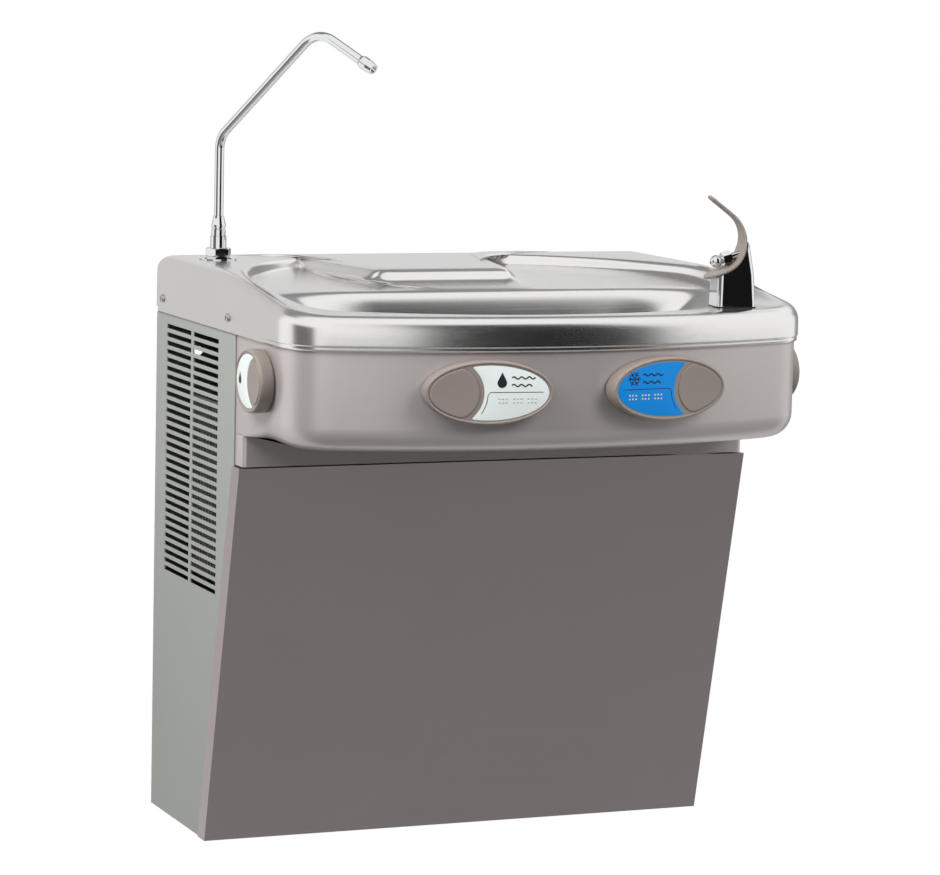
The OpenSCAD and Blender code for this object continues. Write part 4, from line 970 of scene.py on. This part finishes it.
@dataclass
class Prints(Piece):
    """Plain signs on the labels: a drop, a snowflake and waves, and a dark dividing line that is painted
    shade of an embossed edge.
    """

    def strip(self, bm: Mesh, q: Plate, path: Plan, wide: float, z: float) -> None:
        """Adds a thin raised line."""
        left, right = [], []
        for i, p in enumerate(path):
            a, b = path[max(0, i - 1)], path[min(len(path) - 1, i + 1)]
            way = Vector((b[0] - a[0], b[1] - a[1])).normalized() * wide / 2
            left.append((p[0] - way.y, p[1] + way.x))
            right.append((p[0] + way.y, p[1] - way.x))
        self.patch(bm, q, left + right[::-1], z)

    def patch(self, bm: Mesh, q: Plate, plan: Plan, z: float) -> None:
        """Adds a thin raised shape."""
        _, top = grow(bm, [q.ring(plan, z - 0.05), q.ring(plan, z + 0.12)])
        cover(bm, top)

    def drop(self, bm: Mesh, q: Plate, spot: Point, size: float, z: float) -> None:
        """Adds a water drop."""
        plan = [(0, 7.5), *arc(0, -1, 3.9, 150, 402, 21)]
        self.patch(bm, q, [(spot[0] + a * size, spot[1] + b * size) for a, b in plan], z)

    def snowflake(self, bm: Mesh, q: Plate, spot: Point, size: float, z: float) -> None:
        """Adds a six-armed snowflake."""
        for a in (math.radians(60 * k) for k in range(6)):
            spoke = [polar(*spot, r * size, a) for r in (0.5, 3.3, 6)]
            self.strip(bm, q, spoke, 0.85 * size, z)
            for side in (-1, 1):
                ends = ((3.0, 0.0), (4.9, 0.42))
                twig = [polar(*spot, r * size, a + side * t) for r, t in ends]
                self.strip(bm, q, twig, 0.7 * size, z)

    def rows(self, bm: Mesh, q: Plate, spot: Point, z: float) -> None:
        """Adds two waves beside the sign, and under them a dark dividing line that paints the shade of an
        embossed edge.
        """
        x, y = spot
        for row in (0, 1):
            steps = [0.8 * k for k in range(25 - 3 * row)]
            wave = [(x + q.pad_side * (8 + u), y + 3 - row * 6 + 0.9 * math.sin(u)) for u in steps]
            self.strip(bm, q, wave, 1.1, z)
        # The dividing line is a thin dark strip: painted shade standing in for the shadow along an embossed
        # edge of the label.
        r = q.pad_r + 6.2
        curve = [polar(q.pad_x, 0, -r, math.radians(t)) for t in range(4, 37, 4)]
        self.strip(bm, q, [(-44, 0.6), (-20, 0.6), (-0.6, 0.6), (0.4, -0.4), *curve], 0.5, z)

    def build(self, chosen: list[Plate]) -> Object:
        """Makes all the signs."""
        bm = bmesh.new()
        for q in chosen:
            z, size = q.proud - 0.6, 1.0 if q.wide else 0.8
            spot = (-10 if q.pad_side < 0 else -34, 9) if q.wide else (-19.5, 0)
            sign = self.drop if q.label == "natural_labels" else self.snowflake
            sign(bm, q, spot, size, z)
            if q.wide:
                self.rows(bm, q, spot, z)
        return self.finish(bm, "label_signs", 30)


@dataclass
class Dots(Piece):
    """Rows of plain raised dots on the front labels."""

    pitch: float = 3

    def build(self, chosen: list[Plate]) -> Object:
        """Makes all the dots."""
        bm = bmesh.new()
        for q in (q for q in chosen if q.wide):
            rounding = ((0.85, 0.65), (0.8, 0.4), (0.5, 0.2), (0.15, 0.12))
            dome = [(r, q.proud - drop) for r, drop in rounding]
            for col in (c for c in range(12) if c % 4 != 3):
                for row in (0, 1):
                    spot = -38 + self.pitch * col, -4.4 - self.pitch * row
                    _, top = grow(bm, [q.ring(arc(*spot, r, 0, 360, 16), z) for r, z in dome])
                    cover(bm, top)
        return self.finish(bm, "label_dots", 40)


@dataclass
class SkirtScrews(Piece):
    """Pan-head screws with a cross recess, in two rows on the basin's skirt."""

    skirt_x: float = 230.05
    rows: Pair = (22, 196)
    height: float = 448
    turn: float = 0.5

    def ring(self, place: Matrix, plan: Plan, z: float) -> Ring:
        """Places an outline at a height above the skirt."""
        return [at(*(place @ Vector((a, b, z)))) for a, b in plan]

    def build(self) -> Object:
        """Makes the four heads."""
        bm = bmesh.new()
        cross = [(1.9, 0.35), (0.35, 0.35), (0.35, 1.9), (-0.35, 1.9), (-0.35, 0.35), (-1.9, 0.35)]
        cross += [(-x, -y) for x, y in cross]
        small = [(0.8 * x, 0.8 * y) for x, y in cross]
        head = [(3.7, 0), (3.66, 0.8), (3.4, 1.35), (2.9, 1.75), (2.3, 2.0)]
        for s, y in ((s, y) for s in (-1, 1) for y in self.rows):
            place = Matrix.Translation((s * self.skirt_x, -y, self.height))
            place = place @ Matrix.Rotation(math.radians(s * 90), 4, "Y")
            place = place @ Matrix.Rotation(self.turn, 4, "Z")
            _, rim = grow(bm, [self.ring(place, arc(0, 0, r, 0, 360, 32), z) for r, z in head])
            edge, floor = grow(bm, [self.ring(place, cross, 2.0), self.ring(place, small, 0.9)])
            cover(bm, rim, edge)
            cover(bm, floor)
        return self.finish(bm, "skirt_screw_heads", 35, "skirt_screws")


@dataclass
class MouthGuard(Piece):
    """Leaf-shaped guard over the bubbler, with a thicker rim.

    Attributes:
        turn: direction of the guard in degrees.
        centre: centre of its curved middle, as distance out and height.
        low: slope in degrees and length of the straight low end.
        top: the same for the high end.
        taper: length over which it narrows from its width to the arm's.
    """

    spot: tuple[float, float, float] = (165, -326, 464)
    turn: float = 174
    centre: Pair = (18.8, 55)
    radius: float = 26.4
    low: Pair = (67, 18)
    top: Pair = (53, 26)
    width: float = 27
    arm: float = 9
    leaf: float = 19
    taper: float = 60
    thick: float = 3

    def path(self) -> list[Vector]:
        """Middle line from the low tip to the high tip."""
        (lt, ll), (tt, tl) = self.low, self.top
        u, up = self.centre
        curve = [Vector(p) for p in arc(u, up, self.radius, 180 + lt, 180 - tt, 20)]
        curve.append(Vector(polar(u, up, self.radius, math.radians(180 - tt))))
        down, rise = spin(lt - 90), spin(90 - tt)
        tail = [curve[0] + down * ll * i / 10 for i in range(10, 0, -1)]
        return tail + curve + [curve[-1] + rise * tl * i / 8 for i in range(1, 9)]

    def wide(self, s: float, total: float) -> float:
        """Width at a distance from the low tip."""

        def end(t: float, reach: float) -> float:
            return math.sqrt(max(0.03, 1 - (1 - t / reach) ** 2)) if t < reach else 1.0

        narrow = ease(max(0.0, s - self.leaf) / self.taper)
        body = self.arm + (self.width - self.arm) * (1 - narrow)
        return body * end(s, self.leaf) * end(total - s, self.arm / 2)

    def build(self) -> Object:
        """Makes the guard."""
        flat = self.path()
        along = [0.0]
        for a, b in zip(flat, flat[1:]):
            along.append(along[-1] + (b - a).length)
        place = Matrix.Translation(self.spot) @ Matrix.Rotation(math.radians(self.turn), 4, "Z")
        rings = []
        for i, p in enumerate(flat):
            way = (flat[min(i + 1, len(flat) - 1)] - flat[max(i - 1, 0)]).normalized()
            out = Vector((-way.y, way.x))
            w, t = self.wide(along[i], along[-1]) / 2, self.thick / 2
            rim = min(1.4, w * 0.4)
            flank, crest = w - rim * 0.3, w * 0.62 - rim * 0.2
            half = [(w, 0.0), (flank, t * 0.75), (w - rim, t), (crest, t * 0.62), (w * 0.3, t * 0.5)]
            back = [(w * 0.3, -t * 0.86), (crest, -t * 0.9), (w - rim, -t), (flank, -t * 0.75)]
            section = half + [(-a, b) for a, b in half[::-1]] + [(-a, b) for a, b in back[::-1]] + back
            rings.append([at(*(place @ Vector((p.x + out.x * b, a, p.y + out.y * b)))) for a, b in section])
        obj = smoothed(mesh_piece(loft(rings, caps=True), "mouth_guard_leaf", 80))
        return self.place(obj, "mouth_guard")


@dataclass
class Studio:
    """Camera, lamps, floor and world."""

    lens: float = 143.52
    place: tuple[float, float, float] = (-1221.5, -3095.7, 741.2)
    yaw: float = 0.394943
    pitch: float = 0.125978
    roll: float = 0.023156

    def camera(self) -> None:
        """Puts the camera where the photograph was taken from."""
        level = math.cos(self.pitch)
        ahead = Vector((math.sin(self.yaw) * level, math.cos(self.yaw) * level, -math.sin(self.pitch)))
        right = Vector((math.cos(self.yaw), -math.sin(self.yaw), 0))
        up = right.cross(ahead)
        c, s = math.cos(self.roll), math.sin(self.roll)
        x, y = c * right + s * up, c * up - s * right
        turn = Matrix((x, y, -ahead)).transposed().to_4x4()
        data = bpy.data.cameras.new("camera")
        data.sensor_fit = "HORIZONTAL"
        data.sensor_width = 36
        data.lens = self.lens
        obj = bpy.data.objects.new("camera", data)
        obj.matrix_world = Matrix.Translation(at(*self.place)) @ turn
        bpy.context.scene.collection.objects.link(obj)
        bpy.context.scene.camera = obj

    def lamp(self, name: str, place: Point, size: Pair, power: float) -> None:
        """Adds a soft box that looks at the object's middle."""
        data = bpy.data.lights.new(name, "AREA")
        data.shape = "RECTANGLE"
        data.size, data.size_y = size
        data.energy = power
        obj = bpy.data.objects.new(name, data)
        spot = Vector(place)
        aim = Vector((0, -0.2, 0.1)) - spot
        obj.matrix_world = Matrix.Translation(spot) @ aim.to_track_quat("-Z", "Y").to_matrix().to_4x4()
        obj.visible_glossy = False
        bpy.context.scene.collection.objects.link(obj)

    def seen_white(self, tree: bpy.types.NodeTree, other: Socket, target: Socket) -> None:
        """Shows plain white to the camera and to reflections, and another shader to the rest."""
        path = tree.nodes.new("ShaderNodeLightPath")
        total = path.outputs["Is Camera Ray"]
        for name in ("Is Glossy Ray", "Is Transmission Ray"):
            sum_node = tree.nodes.new("ShaderNodeMath")
            sum_node.operation = "MAXIMUM"
            tree.links.new(total, sum_node.inputs[0])
            tree.links.new(path.outputs[name], sum_node.inputs[1])
            total = sum_node.outputs[0]
        mix = tree.nodes.new("ShaderNodeMixShader")
        is_world = isinstance(target.node, bpy.types.ShaderNodeOutputWorld)
        white = tree.nodes.new("ShaderNodeBackground" if is_world else "ShaderNodeEmission")
        white.inputs["Color"].default_value = (1, 1, 1, 1)
        tree.links.new(total, mix.inputs[0])
        tree.links.new(other, mix.inputs[1])
        tree.links.new(white.outputs[0], mix.inputs[2])
        tree.links.new(mix.outputs[0], target)

    def world(self, level: float) -> None:
        """Soft even light from all round."""
        world = bpy.data.worlds.new("studio")
        world.use_nodes = True
        tree = world.node_tree
        even = tree.nodes["Background"]
        even.inputs["Color"].default_value = (1, 1, 1, 1)
        even.inputs["Strength"].default_value = level
        self.seen_white(tree, even.outputs[0], tree.nodes["World Output"].inputs["Surface"])
        bpy.context.scene.world = world

    def plane(self, name: str, place: Matrix, size: float, look: Material) -> Object:
        """Adds a square that isn't part of the object."""
        bm = bmesh.new()
        bmesh.ops.create_grid(bm, x_segments=1, y_segments=1, size=size, matrix=place)
        obj = mesh_piece(bm, name)
        obj.data.materials.append(look)
        return obj

    def floor(self) -> None:
        """A grey floor well below the hung cooler, which the camera sees as white."""
        s = Shader("studio_floor")
        s.set(Base_Color=linear("#969694"), Roughness=0.8)
        out = s.material.node_tree.nodes["Material Output"].inputs["Surface"]
        self.seen_white(s.material.node_tree, s.surface.outputs[0], out)
        self.plane("floor", Matrix.Translation((0, 0, -0.95)), 30, s.material)

    def cloth(self, name: str, place: Matrix, tone: str) -> None:
        """Adds a card of one tone, which only reflections see."""
        s = Shader(name + "_cloth")
        s.set(Base_Color=(0, 0, 0, 1), Emission_Color=linear(tone), Emission_Strength=1.0, Roughness=1.0)
        obj = self.plane(name, place, 1, s.material)
        obj.visible_camera = False
        obj.visible_diffuse = False
        obj.visible_shadow = False

    def card(
        self, name: str, azimuth: float, distance: float, half: Point, height: float, tone: str
    ) -> None:
        """Stands a card upright, facing the object.

        Its azimuth is in degrees from the front towards the right, and half is half its size.
        """
        a = math.radians(azimuth)
        spot = Vector((math.sin(a) * distance, -0.3 - math.cos(a) * distance, height))
        size = Matrix.Diagonal((half[0], half[1], 1, 1))
        turn = Matrix.Rotation(a, 4, "Z") @ Matrix.Rotation(math.radians(90), 4, "X") @ size
        self.cloth(name, Matrix.Translation(spot) @ turn, tone)

    def flat_card(self, name: str, x: Point, y: Point, height: float, tone: str) -> None:
        """Lays a card level over a range of X and Y."""
        size = Matrix.Diagonal(((x[1] - x[0]) / 2, (y[1] - y[0]) / 2, 1, 1))
        middle = Matrix.Translation(((x[0] + x[1]) / 2, (y[0] + y[1]) / 2, height))
        self.cloth(name, middle @ size, tone)

    def build(self) -> None:
        """Sets the whole studio."""
        bpy.context.scene.view_settings.view_transform = "Standard"
        self.camera()
        self.world(0.38)
        self.floor()
        self.lamp("key", (1.3, -2.2, 1.9), (1.4, 1.4), 66)
        self.lamp("fill", (-1.0, -0.5, 1.0), (0.7, 0.7), 20)
        self.card("front_card", 17, 2.4, (1.0, 2.6), 1.3, "#000000")
        self.card("left_card", -77, 2.4, (0.87, 1.3), -0.3, "#6c6866")
        self.card("side_card", -157, 2.6, (1.1, 2.0), 0.2, "#d2d0cd")
        self.card("rear_card", 130, 2.4, (0.8, 1.3), -0.3, "#8a8a8a")
        self.flat_card("low_card", (-4.0, 6.0), (-8.0, -0.2), -0.94, "#9c9c9c")
        self.flat_card("top_card", (-2.0, 2.0), (0.6, 4.0), 2.5, "#888888")
        self.card("wall_card", 180, 4.5, (4.0, 1.6), 0.6, "#dfdfdf")
        log.info("studio")


materials: dict[str, Material] = {}


def dress_nodes() -> None:
    """Gives every CAD node the finish of its slot."""
    slots = {s["node"]: s["material_slot"] for s in frame["record"]["subparts"]}
    for name, obj in frame["nodes"].items():
        for holder in obj.material_slots:
            holder.material = materials[slots[name]]
    log.info("dressed %d nodes", len(slots))


def main() -> None:
    """Builds everything in order."""
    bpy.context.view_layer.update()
    Studio().build()
    materials.update({slot: finish.build() for slot, finish in FINISHES.items()})
    dress_nodes()
    Basin("bright_stainless").build()
    MouldedFront("moulded_front").build()
    FillerTube("chrome", "filler_arm").build()
    every = plates()
    Bezels("taupe_plastic").build([q for q in every if q.bow], "front_plate_frames", "front_bezels")
    Bezels("taupe_plastic").build([q for q in every if not q.bow], "side_plate_frames", "side_bezels")
    for plate in every:
        Pad("taupe_plastic", plate.button).build(plate)
        ReturnSpring("spring_steel").build(plate)
    for kind, slot in (("natural_labels", "pale_label"), ("chilled_labels", "blue_label")):
        Labels(slot).build([q for q in every if q.label == kind], kind)
    Prints("black_plastic").build(every)
    Dots("white_plastic").build(every)
    SkirtScrews("satin_stainless").build()
    MouthGuard("taupe_plastic").build()


if __name__ == "__main__":
    logging.basicConfig(level=logging.INFO)
    main()
